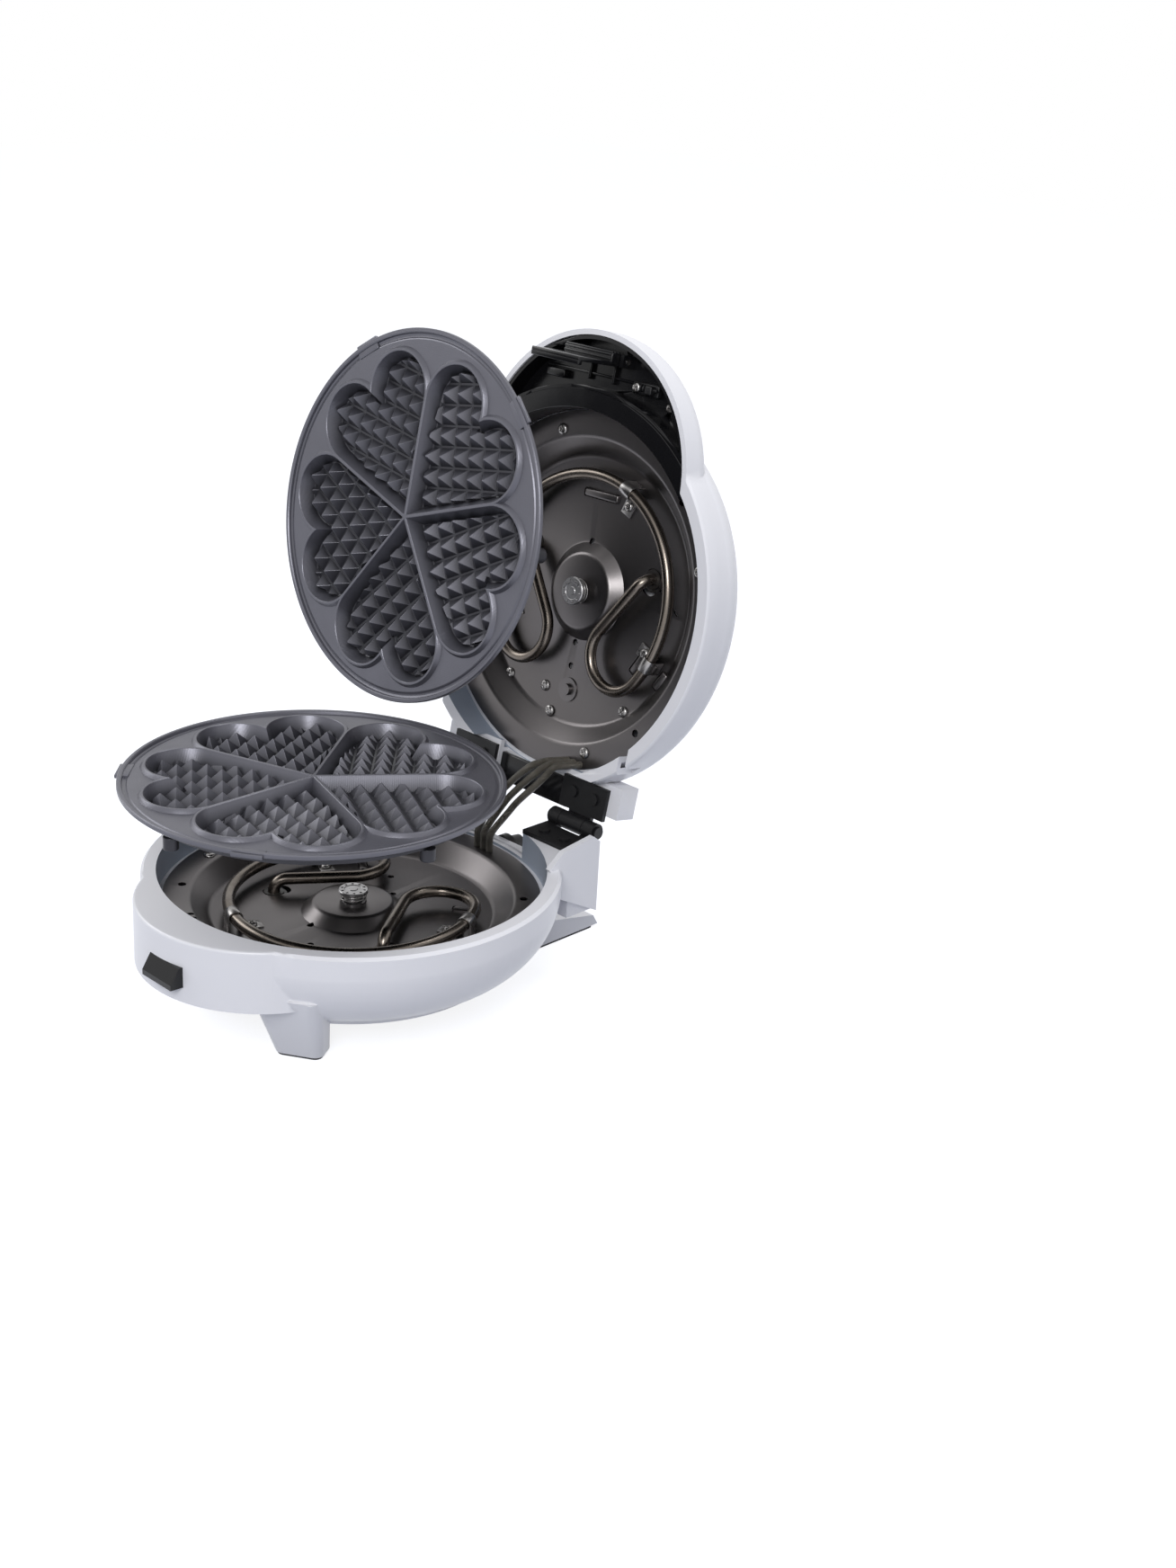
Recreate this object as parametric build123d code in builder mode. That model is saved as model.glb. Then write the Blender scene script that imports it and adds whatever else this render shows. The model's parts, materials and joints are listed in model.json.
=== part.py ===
from build123d import *
import math
import os

# Heart waffle maker: two hinged halves, each with a pressed pan, a bent heating tube and a lift-out plate.
# Millimetres, +Z up, feet on z = 0, the hinge at +Y and the handle at -Y. The lid is modelled open.

# Whole appliance
RIM_HEIGHT = 72.0  # base rim above the table
RIM_OUTER = 112.0  # outside of both halves at the rim
RIM_INNER = 104.0  # round wall that the plate drops into
SKIN = 3.0  # plastic wall
SKIRT = 2.5  # inner wall under the rim
SKIRT_DEPTH = 20.0
RIM_GAP = 0.5  # between the two rims when closed
RIM_ROUND = 1.6

# Hinge
HINGE_Y = 123.3
HINGE_Z = 77.3
LID_OPEN = 101.4  # degrees
LEAF_X = 45.0  # middle of each hinge, either side
LEAF_WIDTH = 34.0
LEAF_THICK = 2.5
LEAF_START_Y = 99.0
BARREL_R = 5.0
PIN_R = 2.5
PIN_PLAY = 0.06
KNUCKLE = 8.0  # length of an outer knuckle
KNUCKLE_PLAY = 0.4
HINGE_SCREW_PITCH = 16.0

# Pressed pans, heights measured down from the rim
PAN_R = 101.4
PAN_DEPTH = 16.7
PAN_SHEET = 1.0
PAN_FLANGE_INNER = 87.0
PAN_FLOOR_R = 76.0
PAN_FLOOR_DEPTH = 28.0
BOSS_FOOT_R = 27.0
BOSS_TOP_R = 21.0
BOSS_DEPTH = 21.6
BOSS_HOLE_R = 6.2
PAN_SCREW_R = 92.0  # circle of the four flange screws
PAN_SCREW_TURN = 20.0  # degrees
PAN_HOLE_R = 2.6
SCREW_R = 1.9
SCREW_HEAD_R = 3.4
SCREW_HEAD = 1.6
POST_R = 4.5

# Heating tube
TUBE_R = 3.3
TUBE_DEPTH = 20.6  # centre of the tube below the rim
RING_R = 66.5
LOOP_R = 19.5  # loop between a leg and the ring
LOOP_TURN = 37.5  # degrees from the X axis to a loop's middle
LEG_END = (46.0, -18.0)  # where a leg goes down through the pan
LEG_BEND = 7.0
BASE_DROP = 18.0  # the ends go this far down through the pan
LID_DROP = 13.0
BUSH_R = 5.6
BUSH_PLAY = 0.1
BUSH_LENGTH = 7.5
TAB = (6.0, 0.8)
BASE_TAB = 9.0
LID_TAB = 2.4
CLIP_ANGLES = (250.0, 24.0, 156.0)
CLIP_WIDTH = 8.0
CLIP_SHEET = 0.8
CLIP_FOOT = 11.0

# Temperature sensor
STUD_R = 5.0
STUD_PLAY = 0.08
STUD_HEAD_R = 8.0
STUD_HEAD = 2.0
STUD_HEAD_DEPTH = 15.0
BASE_STUD = 22.0
LID_STUD = 17.0
COLLAR_R = 9.0
COLLAR_LENGTH = 12.0
SPRING_R = 6.9
SPRING_WIRE = 0.4  # radius
SPRING_TURNS = 2

# Plates
PLATE_R = 100.0
PLATE_SEAT = 1.0  # plate face below the rim when seated
FLANGE_THICK = 2.5
PLATE_BODY_R = 92.0
PLATE_BODY = 9.0
HEARTS = 5
HEART_REACH = PLATE_BODY_R - 4.0
HEART_DEPTH = 6.0
RIB_HALF = 2.4
BEAD_WIDTH = 2.2
BEAD_HEIGHT = 1.2
STUD_PITCH = 11.0
STUD_BASE = 9.6
STUD_HEIGHT = 4.8
STUD_DRAFT = 40.0
HUB_R = 15.0
PLATE_POST_R = 4.0
PLATE_POST_CIRCLE = PLATE_BODY_R - 3.0
SEAT_PLAY = 0.3
LUG = (16.0, 1.4)  # width and how far it stands past the flange
LUG_ANGLES = (225.0, 303.0)

# Where the plates are held, taken off: offsets from their seats
LOWER_OFF = Vector(-1.2, -26.4, 57.1)
UPPER_OFF = Vector(-36.8, -79.7, 46.1)

# Base
BASE_BOTTOM = 20.0
BASE_FLOOR_R = 85.0
COVER_R = 64.0
COVER_THICK = 2.5
NOSE_Y = -58.0
NOSE_R = 68.0
APRON_BOTTOM = 38.0
LEG_TURN = 58.5  # degrees below the X axis
FOOT_MIDDLE_R = 78.5
FOOT_SIZE = (17.0, 26.0)  # along the radius and across it
KNEE_MIDDLE_R = 97.0
KNEE_SIZE = (24.0, 38.0)
KNEE_TOP = 44.0
PAD = 1.5
FIN_X = 33.0
FIN_WIDTH = 8.0
BLOCK_HALF = 72.0
BLOCK_REAR = 112.0
CHEEK = 3.5
CHEEK_TOP = 84.0
LEAD_GAP = 27.0  # half width of the cut for the leads between the hinges

# Lid
LID_DEPTH = 40.0
HANDLE_Y = -66.0
HANDLE_R = 79.0
HANDLE_DEPTH = 22.0
LINER_FLOOR = 12.0
LINER_WALL = 2.0

# Latch
LATCH_X = 4.0  # in the lid's tray, so its other side of the middle when closed
LATCH_Y = -131.0
LATCH_HALF = 18.0
LATCH_THICK = 7.0
LATCH_DEPTH = 9.0
LATCH_AXIS = 6.0  # pivot below the lid's rim
LATCH_ROD_R = 1.5
LATCH_BRACKET = 2.5
HOOK_SHEET = 2.5
HOOK_REACH = 30.0
HOOK_LIP = (4.5, 3.2)  # length and thickness
CATCH_X = (-6.0, 18.0)
CATCH_Z = (46.2, 57.5)
CATCH_TIP = 5.0  # how far it stands out of the apron

# Plate release lever, on the liner's floor
LEVER_PIVOT = (-25.0, -119.0)
LEVER_SCREW_R = 1.9
FREE_SCREW = (-48.0, -112.0)

# Leads across the hinge
LEAD_R = 2.0
LEAD_STEP = 3.0  # rise of each lead over the next where they slant
LEADS_BASE_X = (-3.0, 2.0, 7.0)
LEADS_LID_X = (-30.0, -25.0, -20.0)
LEADS_Y = 94.0

# Open holes of the pans' floors
HOLES_BASE = [(17, -43), (14, 36), (-20, 44)]
HOLES_LID = [(-9, 33), (-9, 44), (-7, -32)]


class Tray:
    """One half seen as a tray: z out of its mouth, y towards the hinge, zero at the rim."""

    def __init__(self, rim):
        self.rim = rim
        self.section = Plane(origin=rim.origin, x_dir=rim.x_dir, z_dir=-rim.y_dir)
        self.axis = Axis(rim.origin, rim.z_dir)

    def level(self, height):
        """The plane at a height above the rim, negative inside."""
        return self.rim.offset(height)

    def turned(self, degrees, radius, height=0.0):
        """A plane on a radius: x outwards, z out of the tray, at a point on that radius."""
        a = math.radians(degrees)
        spot = self.rim.from_local_coords((radius * math.cos(a), radius * math.sin(a), height))
        out = self.rim.from_local_coords((math.cos(a), math.sin(a), 0)) - self.rim.origin
        return Plane(origin=spot, x_dir=out, z_dir=self.rim.z_dir)

    def point(self, x, y, height):
        """A point of the tray in the appliance's frame."""
        return self.rim.from_local_coords((x, y, height))


def opened(x, y, z):
    """Where a point of the closed lid lies when the lid is open."""
    a = math.radians(LID_OPEN)
    dy, dz = y - HINGE_Y, z - HINGE_Z
    return Vector(
        x,
        HINGE_Y + dy * math.cos(a) + dz * math.sin(a),
        HINGE_Z - dy * math.sin(a) + dz * math.cos(a),
    )


LID_RIM = RIM_HEIGHT + RIM_GAP
OPEN_RAD = math.radians(LID_OPEN)
BASE = Tray(Plane(origin=(0, 0, RIM_HEIGHT)))
LID = Tray(
    Plane(
        origin=opened(0, 0, LID_RIM),
        x_dir=(-1, 0, 0),
        z_dir=(0, -math.sin(OPEN_RAD), -math.cos(OPEN_RAD)),
    )
)
AXLE = Plane(origin=(0, HINGE_Y, HINGE_Z), x_dir=(0, 1, 0), z_dir=(1, 0, 0))
LEDGE_DEPTH = PAN_DEPTH + PAN_SHEET
RECESS = HINGE_Z + BARREL_R - LID_RIM  # depth of the seat of the lid's leaves
RECESS_HALF = BLOCK_HALF - 2
RECESS_LENGTH = 18.0
RECESS_MIDDLE = LEAF_START_Y - 3 + RECESS_LENGTH / 2


def save(builder, name):
    """Labels a finished piece and writes its file."""
    builder.part.label = name
    export_step(builder.part, f"parts/{name}.step")


def on_circle(radius, degrees):
    """A point of a circle about the middle."""
    return (radius * math.cos(math.radians(degrees)), radius * math.sin(math.radians(degrees)))


def flange_spots():
    """The four screws of a pan's flange."""
    return [on_circle(PAN_SCREW_R, PAN_SCREW_TURN + 90 * k) for k in range(4)]


def flange_holes():
    """The open holes between those screws."""
    return [on_circle(PAN_SCREW_R, 45 + 90 * k) for k in range(4)]


def wall_ring(tray, outside, inside):
    """Revolves a wall between two profiles of (radius, height) points from the rim to the middle.

    A step of three values is an arc: the point it passes and the point it ends at.
    """
    with BuildSketch(tray.section) as wall:
        with BuildLine():
            outer_end = curve(outside)
            inner_end = curve(inside)
            Line(outer_end, inner_end)
            Line(inside[0], outside[0])
        make_face()
    revolve(profiles=wall.sketch, axis=tray.axis)


def curve(points):
    """Draws a profile of straight steps and arcs, and returns its end."""
    at = points[0]
    for step in points[1:]:
        if len(step) == 2:
            Line(at, step)
            at = step
        else:
            ThreePointArc(at, step[:2], step[2])
            at = step[2]
    return at


# Profiles of the two shells, each from the rim down, as (radius, height above the rim)
SKIRT_OUT = RIM_INNER + SKIRT
BASE_OUT = [
    (RIM_OUTER - RIM_ROUND, 0),
    (RIM_OUTER, -RIM_ROUND),
    (RIM_OUTER, -12),
    (RIM_OUTER - 7.5, -33, (BASE_FLOOR_R, BASE_BOTTOM + 3 - RIM_HEIGHT)),
    (BASE_FLOOR_R - 2, BASE_BOTTOM - RIM_HEIGHT),
    (COVER_R - 4, BASE_BOTTOM - RIM_HEIGHT),
]
RIM_IN = [
    (RIM_INNER, 0),
    (RIM_INNER, -LEDGE_DEPTH),
    (RIM_INNER - 6, -LEDGE_DEPTH),
    (RIM_INNER - 6, -SKIRT_DEPTH),
    (SKIRT_OUT, -SKIRT_DEPTH),
    (SKIRT_OUT, -SKIN),
    (RIM_OUTER - SKIN, -SKIN),
]
BASE_IN = RIM_IN + [
    (RIM_OUTER - SKIN, -11.5),
    (RIM_OUTER - 10.1, -31.6, (BASE_FLOOR_R - 2, BASE_BOTTOM + 5.7 - RIM_HEIGHT)),
    (BASE_FLOOR_R - 5, BASE_BOTTOM + SKIN - RIM_HEIGHT),
    (COVER_R - 4, BASE_BOTTOM + SKIN - RIM_HEIGHT),
]
LID_OUT = [
    (RIM_OUTER - RIM_ROUND, 0),
    (RIM_OUTER, -RIM_ROUND),
    (RIM_OUTER - 0.5, -16),
    (RIM_OUTER - 4, -29, (RIM_OUTER - 14, -35.5)),
    (RIM_OUTER - 42, -LID_DEPTH + 1),
    (0, -LID_DEPTH),
]
LID_IN = RIM_IN + [
    (RIM_OUTER - SKIN - 0.5, -15.5),
    (RIM_OUTER - SKIN - 3.8, -27.3, (RIM_OUTER - SKIN - 12.2, -32.6)),
    (RIM_OUTER - 42, -LID_DEPTH + 1 + SKIN),
    (0, -LID_DEPTH + SKIN),
]


def screw_posts(tray, foot):
    """Posts under a pan's four flange screws, down to the outer skin."""
    with BuildSketch(tray.level(-LEDGE_DEPTH)) as posts:
        with Locations(*flange_spots()):
            Circle(POST_R)
    extrude(posts.sketch, amount=-(foot - LEDGE_DEPTH))
    with BuildSketch(tray.level(-LEDGE_DEPTH)) as holes:
        with Locations(*flange_spots()):
            Circle(SCREW_R)
    extrude(holes.sketch, amount=-8.5, mode=Mode.SUBTRACT)


def leg_plane(side, radius, height):
    """A level plane at a front leg, with x along its radius."""
    angle = -LEG_TURN if side > 0 else LEG_TURN - 180
    x, y = on_circle(radius, angle)
    return Plane(origin=(x, y, height), x_dir=(*on_circle(1, angle), 0), z_dir=(0, 0, 1))


def base_shell():
    """The white bowl with its nose, apron, legs, hinge block and cheeks."""
    inside = [(RIM_INNER + 1, 1), *BASE_IN[6:-1], (0, BASE_IN[-1][1])]
    with BuildPart() as shell:
        with BuildSketch(BASE.level(APRON_BOTTOM - RIM_HEIGHT)):
            with Locations((0, NOSE_Y)):
                Circle(NOSE_R)
        extrude(amount=RIM_HEIGHT - APRON_BOTTOM)
        fillet(shell.edges().group_by(Axis.Z)[-1], radius=RIM_ROUND)
        with BuildSketch(BASE.level(APRON_BOTTOM - RIM_HEIGHT)):
            with Locations((0, NOSE_Y)):
                Circle(NOSE_R - SKIN)
        extrude(amount=RIM_HEIGHT - APRON_BOTTOM - SKIN, mode=Mode.SUBTRACT)
        with BuildSketch(BASE.level(APRON_BOTTOM - RIM_HEIGHT)):
            with Locations((0, (LEAF_START_Y - 7 + BLOCK_REAR) / 2)):
                Rectangle(2 * BLOCK_HALF, BLOCK_REAR - LEAF_START_Y + 7)
        extrude(amount=RIM_HEIGHT - APRON_BOTTOM)
        with BuildSketch(BASE.level(APRON_BOTTOM + SKIN - RIM_HEIGHT)):
            with Locations((0, (LEAF_START_Y - 7 + BLOCK_REAR) / 2)):
                Rectangle(2 * (BLOCK_HALF - SKIN), BLOCK_REAR - LEAF_START_Y + 7 - 2 * SKIN)
        extrude(amount=RIM_HEIGHT - APRON_BOTTOM - 2 * SKIN, mode=Mode.SUBTRACT)
        for side in (-1, 1):
            with BuildSketch(Plane.YZ.offset(side * (BLOCK_HALF + CHEEK / 2))):
                with BuildLine():
                    Polyline((70, 60), (BLOCK_REAR, APRON_BOTTOM), (BLOCK_REAR, CHEEK_TOP - 4),
                             (BLOCK_REAR - 5, CHEEK_TOP), (84, CHEEK_TOP - 3), (70, 70), close=True)
                make_face()
            extrude(amount=CHEEK / 2, both=True)
            with BuildSketch(Plane.YZ.offset(side * FIN_X)):
                with BuildLine():
                    Polyline((82, APRON_BOTTOM), (110, APRON_BOTTOM + 4), (118, 15), (152, 8),
                             (156, PAD), (86, PAD), close=True)
                make_face()
            extrude(amount=FIN_WIDTH / 2, both=True)
            with BuildSketch(leg_plane(side, FOOT_MIDDLE_R, PAD)):
                RectangleRounded(*FOOT_SIZE, 5)
            with BuildSketch(leg_plane(side, KNEE_MIDDLE_R, KNEE_TOP)):
                RectangleRounded(*KNEE_SIZE, 7)
            loft()
        with BuildSketch(BASE.section):
            with BuildLine():
                curve([(0, 1), *inside, (0, 1)])
            make_face()
        revolve(axis=BASE.axis, mode=Mode.SUBTRACT)
        wall_ring(BASE, BASE_OUT, BASE_IN)
        screw_posts(BASE, 41.0)
        with BuildSketch(BASE.level(1)):
            with Locations((0, LEAF_START_Y + 10)):
                Rectangle(2 * LEAD_GAP, 22)
        extrude(amount=-(PAN_DEPTH + 0.5), mode=Mode.SUBTRACT)
        with BuildSketch(Plane.XY.offset(CATCH_Z[0])):
            with Locations((sum(CATCH_X) / 2, NOSE_Y - NOSE_R)):
                Rectangle(CATCH_X[1] - CATCH_X[0], 14)
        extrude(amount=CATCH_Z[1] - CATCH_Z[0], mode=Mode.SUBTRACT)
    return shell


def lid_shell():
    """The white lid tray with its handle nose and the hinge recess."""
    with BuildPart() as shell:
        with BuildSketch(LID.level(0)):
            with Locations((0, HANDLE_Y)):
                Circle(HANDLE_R)
        extrude(amount=-HANDLE_DEPTH)
        fillet(
            shell.faces().sort_by(LID.axis)[0].edges(), radius=11.0
        )
        with BuildSketch(LID.level(0)):
            with Locations((0, HANDLE_Y)):
                Circle(HANDLE_R - SKIN)
        extrude(amount=-(HANDLE_DEPTH - SKIN - 4), mode=Mode.SUBTRACT)
        with BuildSketch(LID.level(-RECESS)):
            with Locations((0, RECESS_MIDDLE)):
                Rectangle(2 * RECESS_HALF, RECESS_LENGTH)
        extrude(amount=-14)
        with BuildSketch(LID.section):
            with BuildLine():
                curve([(0, 1), (RIM_INNER + 1, 1), *LID_IN[6:], (0, 1)])
            make_face()
        revolve(axis=LID.axis, mode=Mode.SUBTRACT)
        wall_ring(LID, LID_OUT, LID_IN)
        screw_posts(LID, 34.5)
        with BuildSketch(LID.level(-RECESS - SKIN)):
            with Locations((0, RECESS_MIDDLE)):
                Rectangle(2 * RECESS_HALF, RECESS_LENGTH)
        extrude(amount=SKIN)
        with BuildSketch(LID.level(1)):
            with Locations((0, RECESS_MIDDLE + 4)):
                Rectangle(2 * RECESS_HALF, RECESS_LENGTH + 8)
        extrude(amount=-RECESS - 1, mode=Mode.SUBTRACT)
        with BuildSketch(LID.level(1)):
            with Locations((0, RECESS_MIDDLE + 4)):
                Rectangle(2 * LEAD_GAP, RECESS_LENGTH + 8)
        extrude(amount=-PAN_DEPTH - 0.5, mode=Mode.SUBTRACT)
        with BuildSketch(LID.level(1)):
            with Locations((BLOCK_HALF + CHEEK / 2, 93), (-BLOCK_HALF - CHEEK / 2, 93)):
                Rectangle(CHEEK + 2, 50)
        extrude(amount=-(CHEEK_TOP - LID_RIM + 3), mode=Mode.SUBTRACT)
    return shell


def latch_plane(x):
    """The plane across the latch's rod, this far along it from the latch's middle."""
    return Plane(origin=LID.point(LATCH_X + x, LATCH_Y, -LATCH_AXIS), x_dir=LID.rim.y_dir, z_dir=LID.rim.x_dir)


def handle_liner():
    """The black tray inside the handle nose."""
    floor = -LINER_FLOOR
    with BuildPart() as liner:
        with BuildSketch(LID.level(floor - LINER_WALL)):
            with Locations((0, HANDLE_Y)):
                Circle(HANDLE_R - SKIN - 0.4)
            Circle(RIM_OUTER + 0.4, mode=Mode.SUBTRACT)
        extrude(amount=-floor + LINER_WALL - 1)
        with BuildSketch(LID.level(floor)):
            with Locations((0, HANDLE_Y)):
                Circle(HANDLE_R - SKIN - 0.4 - LINER_WALL)
            Circle(RIM_OUTER + 0.4 + LINER_WALL, mode=Mode.SUBTRACT)
        extrude(amount=-floor, mode=Mode.SUBTRACT)
        bracket = LATCH_HALF + 0.4 + LATCH_BRACKET / 2
        with BuildSketch(LID.level(floor)):
            with Locations((LATCH_X - bracket, LATCH_Y), (LATCH_X + bracket, LATCH_Y)):
                Rectangle(LATCH_BRACKET, LATCH_THICK)
        extrude(amount=-floor - 2)
        with BuildSketch(latch_plane(-bracket - LATCH_BRACKET)):
            Circle(LATCH_ROD_R)
        extrude(amount=2 * (bracket + LATCH_BRACKET), mode=Mode.SUBTRACT)
        with BuildSketch(LID.level(floor)):
            with Locations(LEVER_PIVOT, FREE_SCREW):
                Circle(LEVER_SCREW_R)
        extrude(amount=-LINER_WALL, mode=Mode.SUBTRACT)
    return liner


def pan(tray):
    """A pressed reflector pan with its flange, floor, centre boss, slots and holes."""
    with BuildPart() as sheet:
        with BuildSketch(tray.section):
            with BuildLine():
                Polyline(
                    (PAN_R, -PAN_DEPTH),
                    (PAN_FLANGE_INNER, -PAN_DEPTH),
                    (PAN_FLOOR_R, -PAN_FLOOR_DEPTH),
                    (BOSS_FOOT_R, -PAN_FLOOR_DEPTH),
                    (BOSS_TOP_R, -BOSS_DEPTH),
                    (BOSS_HOLE_R, -BOSS_DEPTH),
                )
                offset(amount=PAN_SHEET, side=Side.LEFT, kind=Kind.INTERSECTION)
            make_face()
        revolve(axis=tray.axis)
        with BuildSketch(tray.level(-PAN_DEPTH + 1)):
            with Locations(*flange_spots()):
                Circle(SCREW_R + 0.3)
            with Locations(*flange_holes()):
                Circle(PAN_HOLE_R)
            with Locations(*leg_ends()):
                Circle(BUSH_R + 0.4)
            with Locations(*(HOLES_BASE if tray is BASE else HOLES_LID)):
                Circle(PAN_HOLE_R)
            with Locations(((LEADS_BASE_X if tray is BASE else LEADS_LID_X)[1], LEADS_Y + 2)):
                Rectangle(16, 10)
        extrude(amount=-PAN_FLOOR_DEPTH, mode=Mode.SUBTRACT)
    return sheet


def leg_ends():
    """Where the tube's two ends go down."""
    return [LEG_END, (-LEG_END[0], LEG_END[1])]


def drop_of(tray):
    """How far the tube's ends go down."""
    return BASE_DROP if tray is BASE else LID_DROP


def heating_tube(tray):
    """The bent tube: two legs from the middle, a loop each, and the ring, swept in one piece."""
    middle = on_circle(RING_R - LOOP_R, LOOP_TURN)
    join = on_circle(RING_R, LOOP_TURN)
    away = (middle[0] - LEG_END[0], middle[1] - LEG_END[1])
    lean = math.asin(LOOP_R / math.hypot(*away)) + math.atan2(away[1], away[0])
    touch = (middle[0] - LOOP_R * math.sin(lean), middle[1] + LOOP_R * math.cos(lean))
    turn = (math.degrees(lean) + 90 + LOOP_TURN) / 2
    top = tuple(m + LOOP_R * c for m, c in zip(middle, on_circle(1, turn)))
    low = -TUBE_DEPTH - drop_of(tray)

    def at(spot, side, z=-TUBE_DEPTH):
        return tray.point(side * spot[0], spot[1], z)

    with BuildPart() as tube:
        with BuildLine() as route:
            FilletPolyline(at(LEG_END, 1, low), at(LEG_END, 1), at(touch, 1), radius=LEG_BEND)
            ThreePointArc(at(touch, 1), at(top, 1), at(join, 1))
            ThreePointArc(at(join, 1), at((0, -RING_R), 1), at(join, -1))
            ThreePointArc(at(join, -1), at(top, -1), at(touch, -1))
            FilletPolyline(at(touch, -1), at(LEG_END, -1), at(LEG_END, -1, low), radius=LEG_BEND)
        start = Plane(origin=at(LEG_END, 1, low), x_dir=tray.rim.x_dir, z_dir=tray.rim.z_dir)
        with BuildSketch(start):
            Circle(TUBE_R)
        sweep(path=route.line)
    return tube


def clips(tray):
    """Straps that hold the ring to the pan, each with a foot for its screw."""
    rise = PAN_FLOOR_DEPTH - TUBE_DEPTH
    outer = TUBE_R + 0.15 + CLIP_SHEET
    inner = TUBE_R + 0.15
    with BuildPart() as straps:
        for angle in CLIP_ANGLES:
            spot = tray.turned(angle, RING_R, -TUBE_DEPTH)
            profile = Plane(origin=spot.origin, x_dir=spot.x_dir, z_dir=-spot.y_dir)
            with BuildSketch(profile):
                Circle(outer)
                with Locations((0, -outer / 2)):
                    Rectangle(2 * outer, outer, mode=Mode.SUBTRACT)
                with Locations((0, -rise / 2)):
                    Rectangle(2 * outer, rise)
                with Locations((-outer - CLIP_FOOT / 2, -rise + CLIP_SHEET / 2)):
                    Rectangle(CLIP_FOOT, CLIP_SHEET)
                Circle(inner, mode=Mode.SUBTRACT)
                with Locations((0, -rise / 2)):
                    Rectangle(2 * inner, rise, mode=Mode.SUBTRACT)
            extrude(amount=CLIP_WIDTH / 2, both=True)
            with BuildSketch(spot.offset(-rise)):
                with Locations((-outer - CLIP_FOOT / 2, 0)):
                    Circle(SCREW_R + 0.2)
            extrude(amount=CLIP_SHEET, mode=Mode.SUBTRACT)
    return straps


def clip_screws(tray):
    """One screw in each clip's foot."""
    away = RING_R - TUBE_R - 0.15 - CLIP_SHEET - CLIP_FOOT / 2
    with BuildPart() as screws:
        for angle in CLIP_ANGLES:
            with BuildSketch(tray.turned(angle, away, -PAN_FLOOR_DEPTH + CLIP_SHEET)):
                Circle(SCREW_HEAD_R - 0.4)
            extrude(amount=SCREW_HEAD)
            with BuildSketch(tray.turned(angle, away, -PAN_FLOOR_DEPTH + CLIP_SHEET)):
                Circle(SCREW_R)
            extrude(amount=-CLIP_SHEET)
    return screws


def pan_screws(tray):
    """The four screws that hold a pan to its shell."""
    with BuildPart() as screws:
        with BuildSketch(tray.level(-PAN_DEPTH)):
            with Locations(*flange_spots()):
                Circle(SCREW_HEAD_R)
        extrude(amount=SCREW_HEAD)
        with BuildSketch(tray.level(-PAN_DEPTH)):
            with Locations(*flange_spots()):
                Circle(SCREW_R - 0.1)
        extrude(amount=-9.0)
    return screws


def bushes(tray):
    """Ceramic bushes where the tube's ends go down through the pan."""
    top = PAN_FLOOR_DEPTH - 0.3
    with BuildPart() as ceramics:
        with BuildSketch(tray.level(-top)):
            with Locations(*leg_ends()):
                Circle(BUSH_R)
        extrude(amount=-BUSH_LENGTH)
        with BuildSketch(tray.level(-PAN_FLOOR_DEPTH - PAN_SHEET)):
            with Locations(*leg_ends()):
                Circle(BUSH_R + 1.6)
        extrude(amount=-2.5)
        with BuildSketch(tray.level(-top)):
            with Locations(*leg_ends()):
                Circle(TUBE_R + BUSH_PLAY)
        extrude(amount=-BUSH_LENGTH, mode=Mode.SUBTRACT)
    return ceramics


def tabs(tray):
    """Blade terminals on the tube's ends."""
    with BuildPart() as blades:
        with BuildSketch(tray.level(-TUBE_DEPTH - drop_of(tray))):
            with Locations(*leg_ends()):
                Rectangle(*TAB)
        extrude(amount=-BASE_TAB if tray is BASE else -LID_TAB)
    return blades


def sensor_collar(tray):
    """The guide under the boss that the sensor stud slides in."""
    under = -BOSS_DEPTH - PAN_SHEET
    with BuildPart() as collar:
        with BuildSketch(tray.level(under)):
            Circle(BOSS_TOP_R - 1.2)
        extrude(amount=-1.5)
        with BuildSketch(tray.level(under)):
            Circle(COLLAR_R)
        extrude(amount=-COLLAR_LENGTH)
        with BuildSketch(tray.level(under)):
            Circle(STUD_R + STUD_PLAY)
        extrude(amount=-COLLAR_LENGTH, mode=Mode.SUBTRACT)
    return collar


def sensor_stud(tray):
    """The sprung stud that touches the plate's hub."""
    with BuildPart() as stud:
        with BuildSketch(tray.level(-STUD_HEAD_DEPTH)):
            Circle(STUD_HEAD_R)
        extrude(amount=-STUD_HEAD)
        chamfer(stud.edges().group_by(tray.axis)[-1], length=0.6)
        with BuildSketch(tray.level(-STUD_HEAD_DEPTH)):
            Circle(STUD_R)
        extrude(amount=-BASE_STUD if tray is BASE else -LID_STUD)
    return stud


def spring_height():
    """How far a sensor spring's wire climbs."""
    return BOSS_DEPTH - STUD_HEAD_DEPTH - STUD_HEAD - 2 * SPRING_WIRE - 0.2


def spring_gap():
    """Least gap between a sensor spring's curls, measured on points along its wire."""
    steps = 72
    points = [
        Vector(
            SPRING_R * math.cos(2 * math.pi * k / steps),
            SPRING_R * math.sin(2 * math.pi * k / steps),
            spring_height() * k / steps / SPRING_TURNS,
        )
        for k in range(steps * SPRING_TURNS + 1)
    ]
    apart = [
        (points[i] - points[j]).length
        for i in range(len(points))
        for j in range(i + steps // 2, len(points))
    ]
    return min(apart) - 2 * SPRING_WIRE


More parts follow.
